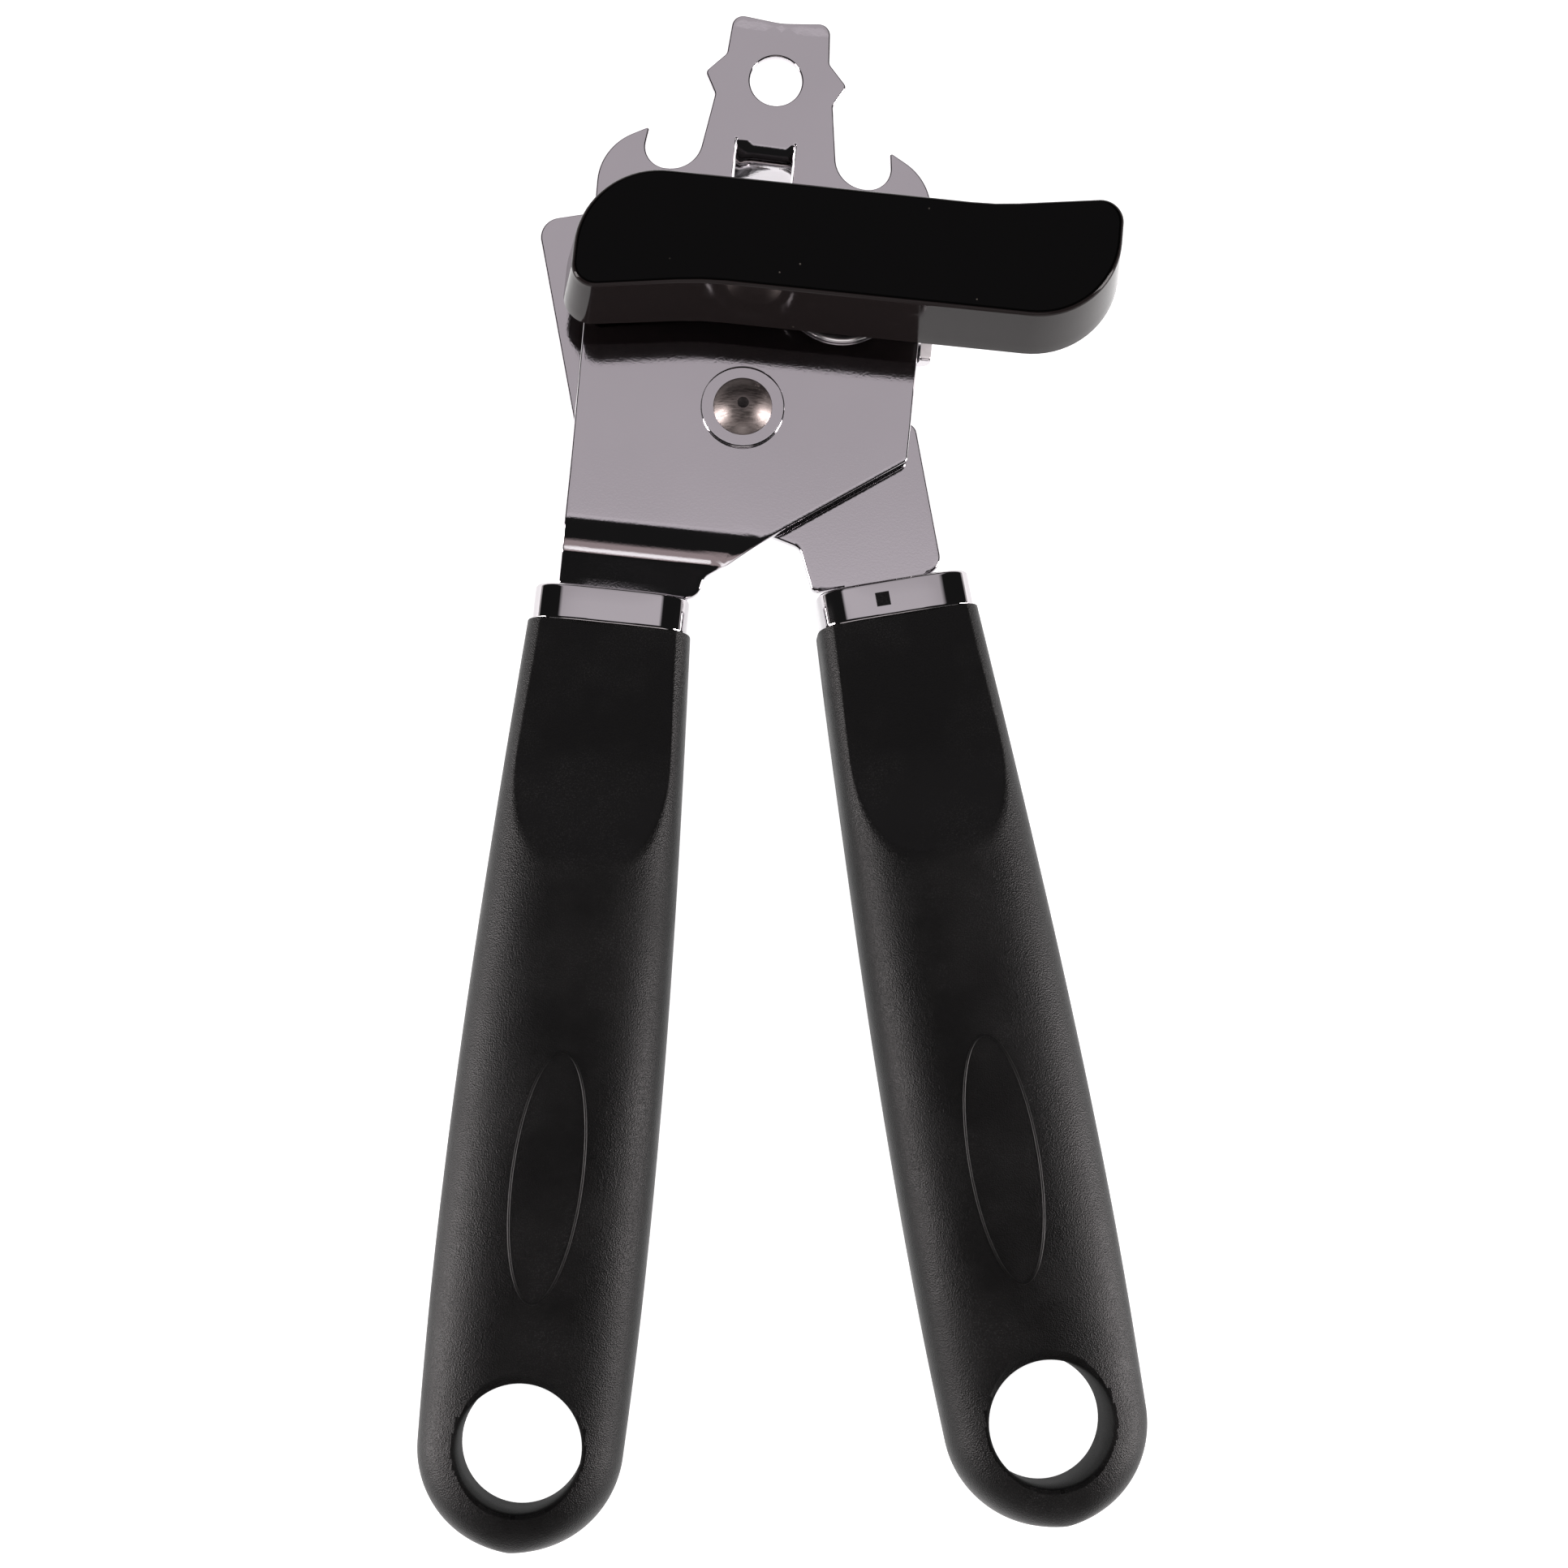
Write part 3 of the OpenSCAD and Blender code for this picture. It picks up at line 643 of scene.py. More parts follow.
def build_rear_plate():
    def mapper(x, y, depth):
        return (x, y, TANG_Z + depth)

    cutter = (REAR.inverted() @ CUTTER).to_2d()
    holes = [circle((0, 0), 3.55), circle(cutter, 4.5)]
    verts, faces = sheet_mesh(rounded(REAR_OUTLINE), holes, mapper, frange(28, -60, 6), 3)
    tab_verts, tab_faces = stop_tab()
    offset = len(verts)
    verts += tab_verts
    faces += [[i + offset for i in f] for f in tab_faces]
    piece = new_piece(
        "rear_plate_sheet", verts, faces, REAR, "rear_lever",
        ["rear_plate", "cutter_arm", "stop_tab"], PLATE_CHROME, 50,
    )
    piece.data.materials.append(SHEARED_END_PAINTED_LIGHT)
    # The tab's upward cut end takes the pale matte finish: a real sheared edge, with its paleness a painted
    # highlight
    for polygon in piece.data.polygons:
        if polygon.center.z > (TAB_TOP - 0.05) * MM and polygon.normal.z > UPWARD:
            polygon.material_index = 1
    weighted_normals(piece)


def stop_tab():
    """The tab turned up beside the front plate, as a bent strip with rounded rims."""
    face_x = PLATE_HALF + 0.45 + SHEET_T / 2
    path = rounded([(18, TANG_Z, 0), (face_x, TANG_Z, 1.6), (face_x, TAB_TOP, 0)], closed=False)
    lengths = [0.0]
    for a, b in zip(path, path[1:]):
        lengths.append(lengths[-1] + (b - a).length)
    total = lengths[-1]
    turn = Matrix.Rotation(FRONT_TURN - REAR_TURN, 4, "Z")

    def mapper(u, y, depth):
        u = min(max(u, 0.0), total)
        for i in range(len(path) - 1):
            if u <= lengths[i + 1]:
                break
        step = path[i + 1] - path[i]
        t = (u - lengths[i]) / step.length
        spot = path[i].lerp(path[i + 1], t)
        ahead = path[min(i + 2, len(path) - 1)] - path[i + 1]
        behind = path[i] - path[max(i - 1, 0)]
        d0 = (behind + step).normalized()
        d1 = (step + ahead).normalized()
        along = d0.lerp(d1, t).normalized()
        return tuple(turn @ Vector((spot.x - along.y * depth, y, spot.y + along.x * depth)))

    outline = [(0, 9.1, 0), (total, 9.1, 0.6), (total, 11.9, 0.6), (0, 11.9, 0)]
    # The strip bends along x, so x and y are swapped to give it rows of points across
    swapped = [Vector((p.y, p.x)) for p in rounded(outline)]
    return sheet_mesh(
        swapped, [], lambda x, y, depth: mapper(y, x, -depth), frange(1, total - 0.5, 0.4), 0.5, CRISP_RIM
    )


# ---------------------------------------------------------------- knob

KNOB_HALF = 35.1
KNOB_WAIST = 7.5
KNOB_Z = 17.8
KNOB_H = 11.7
KNOB_WALL = 2.0


def knob_outline(grow):
    half = [
        (KNOB_HALF - 17, KNOB_WAIST + 0.1 + grow, 40),
        (KNOB_HALF + grow, KNOB_WAIST + 2.75 + grow, 3.1 + grow * 0.6),
        (KNOB_HALF + grow, -KNOB_WAIST + 0.1 - grow, 11.2 + grow * 0.6),
    ]
    return rounded(half + [(-x, -y, r) for x, y, r in half])


def build_knob():
    top = KNOB_Z + KNOB_H
    edge = 0.7
    rim = -0.35
    rings = [(KNOB_Z, -KNOB_WALL + 0.15), (KNOB_Z, 0.78), (KNOB_Z + 0.08, 0.93), (KNOB_Z + 0.25, 0.99)]
    rings += [(KNOB_Z + h, 1.0 + (rim - 1.0) * h / (KNOB_H - edge)) for h in (2.5, 5, 7.5, 9.8)]
    rings += [
        (top - edge + edge * math.sin(w), rim - edge * (1 - math.cos(w)))
        for w in [math.radians(a) for a in range(0, 91, 9)]
    ]
    rings += [(top, rim - edge - 0.6)]
    cavity = [(top - 1.9, -KNOB_WALL - 0.9), (top - 2.6, -KNOB_WALL - 0.2)]
    verts = []
    faces = []
    base = len(knob_outline(0))
    outer = []
    for z, grow in rings + cavity:
        outer.append(len(verts))
        verts += [(p.x, p.y, z) for p in knob_outline(grow)]
    count = len(rings)
    for one, two in zip(outer[:count - 1], outer[1:count]):
        for i in range(base):
            j = (i + 1) % base
            faces.append([one + i, two + i, two + j, one + j])
    faces.append([outer[count - 1] + i for i in range(base)])
    inner = [outer[0], outer[count + 1], outer[count]]
    for one, two in zip(inner, inner[1:]):
        for i in range(base):
            j = (i + 1) % base
            faces.append([one + j, two + j, two + i, one + i])
    faces.append([outer[count] + i for i in reversed(range(base))])
    piece = new_piece(
        "knob_shell", verts, faces, AT_DRIVE, "drive", ["knob"], KNOB_PLASTIC, 35
    )
    piece.data.materials.append(KNOB_TOP_PAINTED_SHADE)
    # Upward faces take the darker copy of the plastic, which paints shade onto the knob's top
    for polygon in piece.data.polygons:
        if polygon.normal.z > UPWARD:
            polygon.material_index = 1
    weighted_normals(piece)


def build_knob_inside():
    """Boss, collar and stiffening ribs inside the hollow knob."""
    top = KNOB_Z + KNOB_H - 1.8
    bore = 3.02
    profile = [
        (bore, 14.65), (4.8, 14.65), (5.0, 14.85), (5.0, KNOB_Z), (5.3, KNOB_Z), (5.4, KNOB_Z + 0.1),
        (5.4, top), (bore, top),
    ]
    verts, faces = lathe(profile, 64)
    new_piece(
        "knob_boss_body", verts, faces, AT_DRIVE, "drive", ["knob_boss"], KNOB_PLASTIC
    )
    half = 0.8
    start = 5
    reach = KNOB_HALF - 3.2
    verts = []
    faces = []
    for side in (-1, 1):
        first = len(verts)
        for z, g in ((KNOB_Z + 1, half * 0.8), (top, half)):
            verts += [(side * x, y, z) for x, y in ((start, -g), (reach, -g), (reach, g), (start, g))]
        box = [(0, 1, 2, 3), (4, 7, 6, 5), (0, 4, 5, 1), (1, 5, 6, 2), (2, 6, 7, 3), (3, 7, 4, 0)]
        faces += [[first + i for i in f] for f in box]
    ribs = new_piece("knob_ribs", verts, faces, AT_DRIVE, "drive", [], KNOB_PLASTIC)
    bevel(ribs, 0.0002)


# ---------------------------------------------------------------- grips

SWELL_S = 78.8
GRIP_HALF_START = 10.7
GRIP_HALF_MAX = 13.42
TAIL_R = 12.92
CROWN_START = 14.4
CROWN_MAX = 16
CROWN_TAIL = 15.2
POWER = 2.7
REST_S = 17.2
REST_Z = 13.5
REST_R = 44
REST_END = 33
OVAL_S = 71.4
OVAL_LONG = 15.6
OVAL_WIDE = 4.4
OVAL_TILT = -1.2
# Length over which the grip's front end swells to its full section
FRONT_RUN = 34
TAIL_PINCH = 4.2
BORE_R = 7.8


def ease(t):
    u = max(0.0, min(1.0, t))
    return u * u * (3 - 2 * u)


def grip_half(s):
    if s < SWELL_S:
        return GRIP_HALF_START + (GRIP_HALF_MAX - GRIP_HALF_START) * math.sin(math.pi / 2 * s / SWELL_S)
    if s < BORE_S:
        return GRIP_HALF_MAX - (GRIP_HALF_MAX - TAIL_R) * ((s - SWELL_S) / (BORE_S - SWELL_S)) ** 2
    return math.sqrt(max(0.04, TAIL_R ** 2 - (s - BORE_S) ** 2))


def tail_pinch(s):
    if s < BORE_S:
        return 0.0
    return TAIL_PINCH * (1 - math.sqrt(max(0.0, 1 - ((s - BORE_S) / (TAIL_R + 0.01)) ** 4)))


def grip_top(s):
    rise = (CROWN_MAX - CROWN_START) * ease(s / FRONT_RUN)
    return CROWN_START + rise - (CROWN_MAX - CROWN_TAIL) * ease((s - 76) / 28) - tail_pinch(s)


def grip_low(s):
    return 0.8 * (1 - ease(s / 12)) + tail_pinch(s)


def section_power(s):
    """The section is squarest at the ferrule."""
    return POWER + 1.4 * (1 - ease(s / FRONT_RUN))


def rest_floor(s):
    """Height of the thumb rest: flat, then sweeping up to the crown."""
    run = min(max(0.0, s - REST_S), REST_R * 0.9)
    return REST_Z + REST_R - math.sqrt(REST_R ** 2 - run ** 2)


def below_rest(s, z):
    """The lower of a height and the thumb rest, with a soft edge between them."""
    if s > REST_END + 3:
        return z
    floor = rest_floor(s)
    soft = 0.12 + 0.3 * ease((s - 16) / 12)
    mix = max(0.0, soft - abs(z - floor)) / soft
    return min(z, floor) - mix * mix * soft / 4


def grip_point(s, w):
    """Place on the grip's outside at a distance behind the ferrule and an angle round it."""
    top = grip_top(s)
    low = grip_low(s)
    c = math.cos(math.radians(w))
    t = math.sin(math.radians(w))
    share = 2 / section_power(s)
    x = grip_half(s) * math.copysign(abs(c) ** share, c)
    z = (top + low) / 2 + (top - low) / 2 * math.copysign(abs(t) ** share, t)
    return x, below_rest(s, z) if t > 0 else z


def crown_height(x, s):
    """Height of the grip's upper side over a point."""
    top = grip_top(s)
    low = grip_low(s)
    share = min(1.0, abs(x) / grip_half(s))
    return (top + low) / 2 + (top - low) / 2 * (1 - share ** POWER) ** (1 / POWER)


def build_oval(name, where, body):
    """The raised line of the plain oval on a grip: a thin round bead, partly sunk in it."""
    count = 160
    radius = 0.2
    around = 10
    sunk = 0.06
    probe = 0.2
    turn = math.radians(OVAL_TILT)
    verts = []
    faces = []
    for i in range(count):
        w = 2 * math.pi * i / count
        u = OVAL_LONG * math.cos(w)
        v = OVAL_WIDE * math.sin(w)
        out = Vector((OVAL_WIDE * math.cos(w), OVAL_LONG * math.sin(w))).normalized()
        s = OVAL_S + u * math.cos(turn) - v * math.sin(turn)
        x = u * math.sin(turn) + v * math.cos(turn)
        across_x = out.y * math.cos(turn) + out.x * math.sin(turn)
        across_y = out.y * math.sin(turn) - out.x * math.cos(turn)
        across = Vector((across_x, across_y, 0))
        slope = (crown_height(x + probe, s) - crown_height(x - probe, s)) / (2 * probe)
        up = Vector((-slope, 0, 1)).normalized()
        across = (across - up * across.dot(up)).normalized()
        centre = Vector((x, -s, crown_height(x, s) - sunk))
        for k in range(around):
            a = 2 * math.pi * k / around
            verts.append(centre + across * radius * math.cos(a) + up * radius * math.sin(a))
    for i in range(count):
        j = (i + 1) % count
        for k in range(around):
            m = (k + 1) % around
            faces.append([i * around + k, j * around + k, j * around + m, i * around + m])
    new_piece(name, verts, faces, where, body, [], SMOOTH_REST, 60)


def grip_columns():
    """Angles round the section: crowded over the top, where the fine details are."""
    top = [90 + 90 * (1 if u > 0 else -1) * abs(u) ** 0.9 for u in frange(-1, 1, 2 / 108)]
    bottom = frange(180, 360, 180 / 52)[1:-1]
    return top + bottom


def build_grip(name, where, body, node):
    stations = (
        frange(0, FRONT_RUN, 0.4) + frange(35.5, 103.5, 2)
        + [BORE_S + TAIL_R * math.sin(math.radians(w)) for w in range(0, 88, 3)]
        + [BORE_S + TAIL_R]
    )
    columns = grip_columns()
    verts = []
    for s in stations:
        for w in columns:
            x, z = grip_point(s, w)
            verts.append((x, -s, z))
    n = len(columns)
    faces = [list(range(n))[::-1]]
    for j in range(len(stations) - 1):
        for i in range(n):
            k = (i + 1) % n
            faces.append([j * n + i, j * n + k, (j + 1) * n + k, (j + 1) * n + i])
    faces.append([(len(stations) - 1) * n + i for i in range(n)])
    piece = new_piece(name, verts, faces, where, body, [node], GRAINED, 38)
    piece.data.materials.append(SMOOTH_REST)
    piece.data.materials.append(BORE_WALL)
    cut_bore(piece, where)
    paint_rest(piece, where)


def cut_bore(piece, where):
    """Cuts the chamfered bore through the tail."""
    chamfer = 1.1
    soft = 0.25
    # The cutter's chamfer cones run on past the grip's faces
    flare = 3.6
    wide = BORE_R + chamfer + flare
    low = chamfer
    high = CROWN_TAIL - chamfer
    profile = [
        (0, -4), (wide, -4), (wide, -flare), (BORE_R + soft, low - soft), (BORE_R, low + soft),
        (BORE_R, high - soft), (BORE_R + soft, high + soft), (wide, high + chamfer + flare),
        (wide, 22), (0, 22),
    ]
    verts, faces = lathe(profile, 96)
    shift = Matrix.Translation((0, -BORE_S, 0))
    mesh = bpy.data.meshes.new("bore_cutter")
    mesh.from_pydata([where @ shift @ Vector(v) for v in verts], [], faces)
    bm = bmesh.new()
    bm.from_mesh(mesh)
    bmesh.ops.remove_doubles(bm, verts=bm.verts, dist=1e-7)
    bmesh.ops.recalc_face_normals(bm, faces=bm.faces)
    bm.to_mesh(mesh)
    bm.free()
    cutter = bpy.data.objects.new("bore_cutter", mesh)
    bpy.context.scene.collection.objects.link(cutter)
    cut = piece.modifiers.new("bore", "BOOLEAN")
    cut.operation = "DIFFERENCE"
    cut.object = cutter
    cut.solver = "EXACT"
    bpy.context.view_layer.update()
    graph = bpy.context.evaluated_depsgraph_get()
    result = bpy.data.meshes.new_from_object(piece.evaluated_get(graph))
    piece.modifiers.clear()
    old = piece.data
    piece.data = result
    piece.data.name = piece.name
    bpy.data.meshes.remove(old)
    bpy.data.objects.remove(cutter)
    piece.data.shade_smooth()
    piece.data.set_sharp_from_angle(angle=math.radians(38))


def paint_rest(piece, where):
    """Gives the thumb rest the smoother plastic and the bore its own."""
    back = where.inverted()
    for polygon in piece.data.polygons:
        spot = back @ polygon.center
        s = -spot.y
        if 0.2 < s < REST_END and abs(spot.z - rest_floor(s)) < 0.06:
            polygon.material_index = 1
        elif math.hypot(spot.x, s - BORE_S) < BORE_R + 0.5:
            polygon.material_index = 2


# ---------------------------------------------------------------- ferrules

FERRULE_W = 20.4
FERRULE_H = 13.0
FERRULE_LEN = 4.8
FERRULE_MID = 7.5
FERRULE_POWER = 4.6
FERRULE_POINTS = 144
LOCK_AT = (-1.9, 2.3)
LOCK_HALF = 0.95


def bar_outline(grow):
    """Section of a ferrule in x and z, grown all round, with slightly crowned faces."""
    w = FERRULE_W / 2 + grow
    h = FERRULE_H / 2 + grow
    share = 2 / FERRULE_POWER
    loop = []
    for k in range(FERRULE_POINTS):
        a = 2 * math.pi * k / FERRULE_POINTS
        c = math.cos(a)
        t = math.sin(a)
        x = w * math.copysign(abs(c) ** share, c)
        z = h * math.copysign(abs(t) ** share, t)
        loop.append((x, FERRULE_MID + z))
    return loop


def build_ferrule(name, where, body, node):
    """Chromed ferrule with a rolled front edge and a small rounded rear one."""
    roll = 0.55
    rear = 0.2
    rings = [(FERRULE_LEN, -roll - 1.2), (FERRULE_LEN, -roll)]
    rings += [
        (FERRULE_LEN - roll * (1 - math.cos(a)), -roll * (1 - math.sin(a)))
        for a in [math.radians(d) for d in range(15, 91, 15)]
    ]
    rings += [(2.4, 0), (rear + 0.2, 0)]
    rings += [
        (rear * (1 - math.sin(a)), -rear * (1 - math.cos(a)))
        for a in [math.radians(d) for d in range(0, 91, 30)]
    ]
    verts = []
    faces = []
    for y, grow in rings:
        verts += [(x, y, z) for x, z in bar_outline(grow)]
    n = FERRULE_POINTS
    for j in range(len(rings) - 1):
        for i in range(n):
            k = (i + 1) % n
            faces.append([j * n + i, j * n + k, (j + 1) * n + k, (j + 1) * n + i])
    faces.append(list(range(n)))
    faces.append([(len(rings) - 1) * n + i for i in reversed(range(n))])
    piece = new_piece(name, verts, faces, where, body, [node], FERRULE_CHROME, 40)
    weighted_normals(piece)


def build_lock_tab():
    """Dark square standing just proud of the rear ferrule, for the latch in its window.

    The ferrule itself has no window cut in it here."""
    x, y = LOCK_AT
    top = FERRULE_MID + FERRULE_H / 2
    loops = [(LOCK_HALF, top - 0.5), (LOCK_HALF, top - 0.02), (LOCK_HALF - 0.06, top + 0.02)]
    verts = []
    for half, z in loops:
        verts += [(x + half * i, y + half * j, z) for i, j in ((-1, -1), (1, -1), (1, 1), (-1, 1))]
    faces = [(3, 2, 1, 0), (8, 9, 10, 11)]
    for j in (0, 4):
        for i in range(4):
            k = (i + 1) % 4
            faces.append((j + i, j + k, j + 4 + k, j + 4 + i))
    new_piece("lock_tab", verts, faces, REAR_GRIP, "rear_lever", [], SMOOTH_REST)


# ---------------------------------------------------------------- rivet and bush


def dome(radius, height, base, steps=20):
    """Profile of a spherical cap from its rim to the axis, (radius, z)."""
    ball = (radius ** 2 + height ** 2) / (2 * height)
    centre = base + height - ball
    rim = math.asin(min(1.0, radius / ball))
    turns = [rim * (1 - i / steps) for i in range(steps + 1)]
    return [(ball * math.sin(w), centre + ball * math.cos(w)) for w in turns]


def build_rivet():
    low = 9.05
    dimple = 0.75
    shank = 2.5
    seat = 14.0
    head = [(r, z) for r, z in dome(3.85, 1.75, seat + 0.12) if r > dimple + 0.1]
    top = head[-1][1]
    head += [(dimple, top + 0.01), (dimple * 0.8, top - 0.05), (dimple * 0.4, top - 0.11), (0, top - 0.13)]
    profile = [
        (0, low - 1), (3.2, low - 1), (3.9, low - 0.35), (3.95, low - 0.15), (3.8, low), (shank, low),
        (shank, seat), (3.75, seat), (3.88, seat + 0.04),
    ] + head
    verts, faces = lathe(profile, 96)
    piece = new_piece(
        "pivot_rivet_body", verts, faces, FRONT, "front_lever", ["pivot_rivet"],
        RIVET_STEEL, 40,
    )
    # The dimple's faces take the near-black steel, which paints shade into the hollow
    piece.data.materials.append(DIMPLE_PAINTED_SHADE)
    for polygon in piece.data.polygons:
        spot = polygon.center - PIVOT
        if math.hypot(spot.x, spot.y) < dimple * MM and polygon.normal.z > 0.5:
            polygon.material_index = 1


def build_bush():
    profile = [
        (2.5, 9.75), (3.5, 9.75), (3.5, 13.5), (5.46, 13.5), (5.52, 13.55), (5.52, 13.9), (5.49, 13.97),
        (5.41, 14.0), (5.2, 14.0), (2.5, 14.0),
    ]
    verts, faces = lathe(profile, 128)
    piece = new_piece(
        "pivot_bush_body", verts, faces, FRONT, "front_lever", ["pivot_bush"],
        PLATE_CHROME, 60,
    )
    weighted_normals(piece)


def build_cup_washer():
    profile = [
        (3.0, 13.9), (7.2, 13.9), (7.5, 13.7), (8.1, 13.7), (8.24, 13.76), (8.3, 13.9), (8.26, 14.14),
        (8.1, 14.36), (7.8, 14.53), (7.4, 14.6), (3.0, 14.6),
    ]
    verts, faces = lathe(profile, 128)
    piece = new_piece(
        "cup_washer_body", verts, faces, AT_DRIVE, "drive", ["cup_washer"], WASHER_STEEL, 60
    )
    weighted_normals(piece)


# ---------------------------------------------------------------- CAD nodes kept

# Width in metres and segments of the bevel on each node
KEPT_EDGES = {
    "drive_gear": (0.00012, 1), "cutter_gear": (0.00012, 1), "feed_wheel": (0.0001, 1),
    "cutter_wheel": (0.0001, 1), "pivot_spacer": (0.00012, 2), "pivot_washer": (0.0001, 2),
    "shaft_bush": (0.0001, 2), "cutter_bush": (0.0001, 2), "drive_shaft": (0.00012, 2),
    "cutter_spindle": (0.00012, 2), "drive_spacer": (0.00004, 1), "cutter_thrust_washer": (0.00004, 1),
    "feed_washer": (0.00006, 1),
}


def finish_kept_nodes():
    for node, (width, segments) in KEPT_EDGES.items():
        obj = frame["nodes"][node]
        material = SLOT_MATERIALS[NODE_SLOT[node]]
        obj.data.materials.clear()
        obj.data.materials.append(material)
        bevel(obj, width, segments, 38)


# ---------------------------------------------------------------- studio


def build_floor():
    """Pale floor, lit from itself to just under white."""
    size = 6.0
    corners = [(-size, -size, 0), (size, -size, 0), (size, size, 0), (-size, size, 0)]
    mesh = bpy.data.meshes.new("floor")
    mesh.from_pydata(corners, [], [(0, 1, 2, 3)])
    floor = bpy.data.objects.new("floor", mesh)
    floor.location.z = cad_box[0][2] - 0.0004
    bpy.context.scene.collection.objects.link(floor)
    s = Shader("pale_floor")
    s.set(Base_Color=(0.5, 0.5, 0.5, 1), Roughness=0.9, Emission_Color=(1, 1, 1, 1), Emission_Strength=0.99)
    tone = s.noise(8, 2)
    rough = s.grey_ramp(tone, "Fac", [(0.3, 0.85), (0.7, 0.95)])
    s.link(rough, "Color", s.bsdf, "Roughness")
    mesh.materials.append(s.material)


def area_light(name, spot, target, size, power, colour):
    light = bpy.data.lights.new(name, "AREA")
    light.shape = "RECTANGLE"
    light.size, light.size_y = size
    light.energy = power
    light.color = colour
    lamp = bpy.data.objects.new(name, light)
    lamp.location = spot
    lamp.rotation_euler = (Vector(target) - Vector(spot)).to_track_quat("-Z", "Y").to_euler()
    lamp.visible_camera = False
    bpy.context.scene.collection.objects.link(lamp)


# The room as the tool sees it. Degrees of tilt from straight up, minus towards the
# handles and plus towards the head, with the colour there
DARK = (0.012, 0.012, 0.012, 1)
GREY = (0.55, 0.515, 0.54, 1)
LIGHT = (0.68, 0.64, 0.67, 1)
PINK = (0.4, 0.33, 0.33, 1)
WHITE = (1.4, 1.37, 1.37, 1)
ROOM = [
    (-90, PINK), (-74, PINK), (-70, WHITE), (-56, WHITE), (-52, PINK), (-43, PINK), (-36, DARK),
    (6, DARK), (10, LIGHT), (12.5, LIGHT), (15, GREY), (48, GREY), (56, DARK), (80, (0.35, 0.35, 0.36, 1)),
]
# Degrees sideways over which the cards end, and degrees from straight up where the horizon starts
CARD_EDGE = (15, 19)
HORIZON_EDGE = (78, 83)
HORIZON = (0.5, 0.475, 0.475, 1)


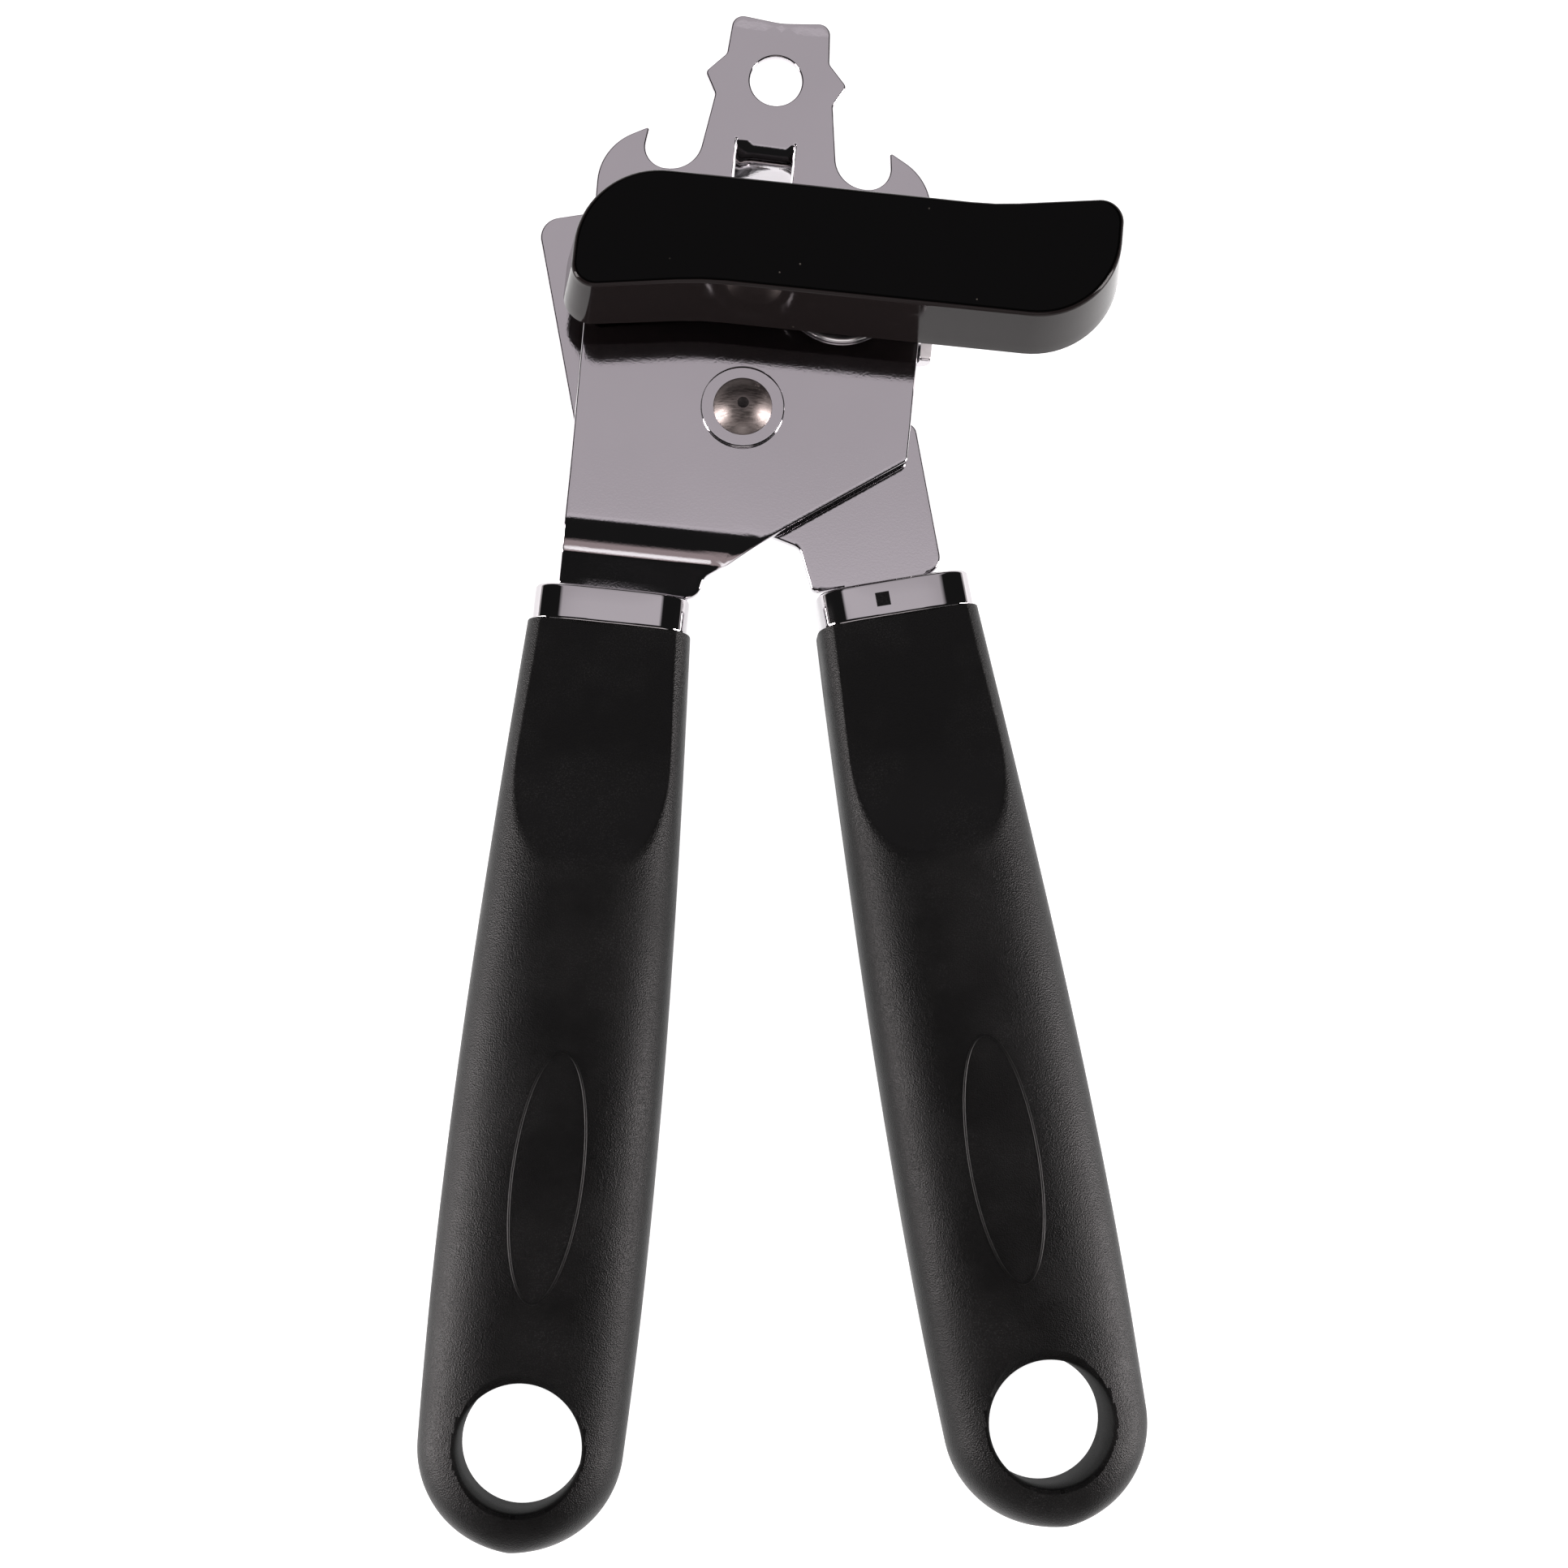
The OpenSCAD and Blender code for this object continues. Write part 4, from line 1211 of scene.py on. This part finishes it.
def build_world():
    """Dark room with a grey card over the head, a white strip low behind the handles and a
    pale horizon. The camera itself sees plain white."""
    world = bpy.data.worlds.new("studio")
    bpy.context.scene.world = world
    world.use_nodes = True
    tree = world.node_tree
    tree.nodes.clear()
    add = tree.nodes.new
    link = tree.links.new

    def maths(operation, *sources):
        node = add("ShaderNodeMath")
        node.operation = operation
        for index, source in enumerate(sources):
            link(source, node.inputs[index])
        return node.outputs[0]

    def share(source, low, high):
        """How far an angle has gone from low to high, both in degrees."""
        node = add("ShaderNodeMapRange")
        node.inputs["From Min"].default_value = math.radians(low)
        node.inputs["From Max"].default_value = math.radians(high)
        link(source, node.inputs["Value"])
        return node.outputs["Result"]

    def blend(factor, first, colour):
        node = add("ShaderNodeMix")
        node.data_type = "RGBA"
        link(factor, node.inputs["Factor"])
        link(first, node.inputs["A"])
        node.inputs["B"].default_value = colour
        return node.outputs["Result"]

    coords = add("ShaderNodeTexCoord")
    split = add("ShaderNodeSeparateXYZ")
    link(coords.outputs["Generated"], split.inputs[0])
    x, y, z = (split.outputs[axis] for axis in "XYZ")
    cards = add("ShaderNodeValToRGB")
    link(share(maths("ARCTAN2", y, z), -90, 90), cards.inputs["Fac"])
    elements = cards.color_ramp.elements
    while len(elements) < len(ROOM):
        elements.new(0.5)
    for element, (degrees, colour) in zip(elements, ROOM):
        element.position = (degrees + 90) / 180
        element.color = colour
    sideways = maths("ABSOLUTE", maths("ARCSINE", x))
    room = blend(share(sideways, *CARD_EDGE), cards.outputs["Color"], DARK)
    room = blend(share(maths("ARCCOSINE", z), *HORIZON_EDGE), room, HORIZON)
    background = add("ShaderNodeBackground")
    link(room, background.inputs["Color"])
    plain = add("ShaderNodeBackground")
    plain.inputs["Color"].default_value = (0.99, 0.99, 0.99, 1)
    path = add("ShaderNodeLightPath")
    mix = add("ShaderNodeMixShader")
    link(path.outputs["Is Camera Ray"], mix.inputs["Fac"])
    link(background.outputs[0], mix.inputs[1])
    link(plain.outputs[0], mix.inputs[2])
    output = add("ShaderNodeOutputWorld")
    link(mix.outputs[0], output.inputs["Surface"])


# Where the camera is and looks: x and y from the pivot, z from the floor, in metres
CAMERA_AT = (-0.00956, -0.10466, 0.35736)
CAMERA_TARGET = (0.00552, -0.04991, 0.012)
CAMERA_LENS = 62.11


def build_camera():
    """Nearly overhead, over the handles and tipped towards the head."""
    spot, target = [Vector((PIVOT.x + x, PIVOT.y + y, z)) for x, y, z in (CAMERA_AT, CAMERA_TARGET)]
    ahead = (target - spot).normalized()
    right = ahead.cross(Vector((0, 1, 0))).normalized()
    up = right.cross(ahead)
    data = bpy.data.cameras.new("camera")
    data.sensor_width = 36
    data.lens = CAMERA_LENS
    data.clip_start = 0.01
    camera = bpy.data.objects.new("camera", data)
    turn = Matrix((right, up, -ahead)).transposed().to_4x4()
    camera.matrix_world = Matrix.Translation(spot) @ turn
    bpy.context.scene.collection.objects.link(camera)
    bpy.context.scene.camera = camera


SOFTBOX_SIZE = (0.22, 0.6)
SOFTBOX_POWER = 8
SOFTBOX_COLOUR = (1, 0.94, 0.94)


def build_studio():
    build_floor()
    build_world()
    for name, side in (("left_softbox", -1), ("right_softbox", 1)):
        spot = (side * 0.7, -0.1, 0.22)
        area_light(name, spot, (0, 0, 0.02), SOFTBOX_SIZE, SOFTBOX_POWER, SOFTBOX_COLOUR)
    bpy.context.scene.view_settings.view_transform = "Standard"


build_camera()
build_studio()
build_front_plate()
build_rear_plate()
build_knob()
build_knob_inside()
build_grip("front_grip", FRONT_GRIP, "front_lever", "front_handle")
build_grip("rear_grip", REAR_GRIP, "rear_lever", "rear_handle")
build_oval("front_grip_oval", FRONT_GRIP, "front_lever")
build_oval("rear_grip_oval", REAR_GRIP, "rear_lever")
build_ferrule("front_ferrule_shell", FRONT_GRIP, "front_lever", "front_ferrule")
build_ferrule("rear_ferrule_shell", REAR_GRIP, "rear_lever", "rear_ferrule")
build_lock_tab()
build_rivet()
build_bush()
build_cup_washer()
finish_kept_nodes()
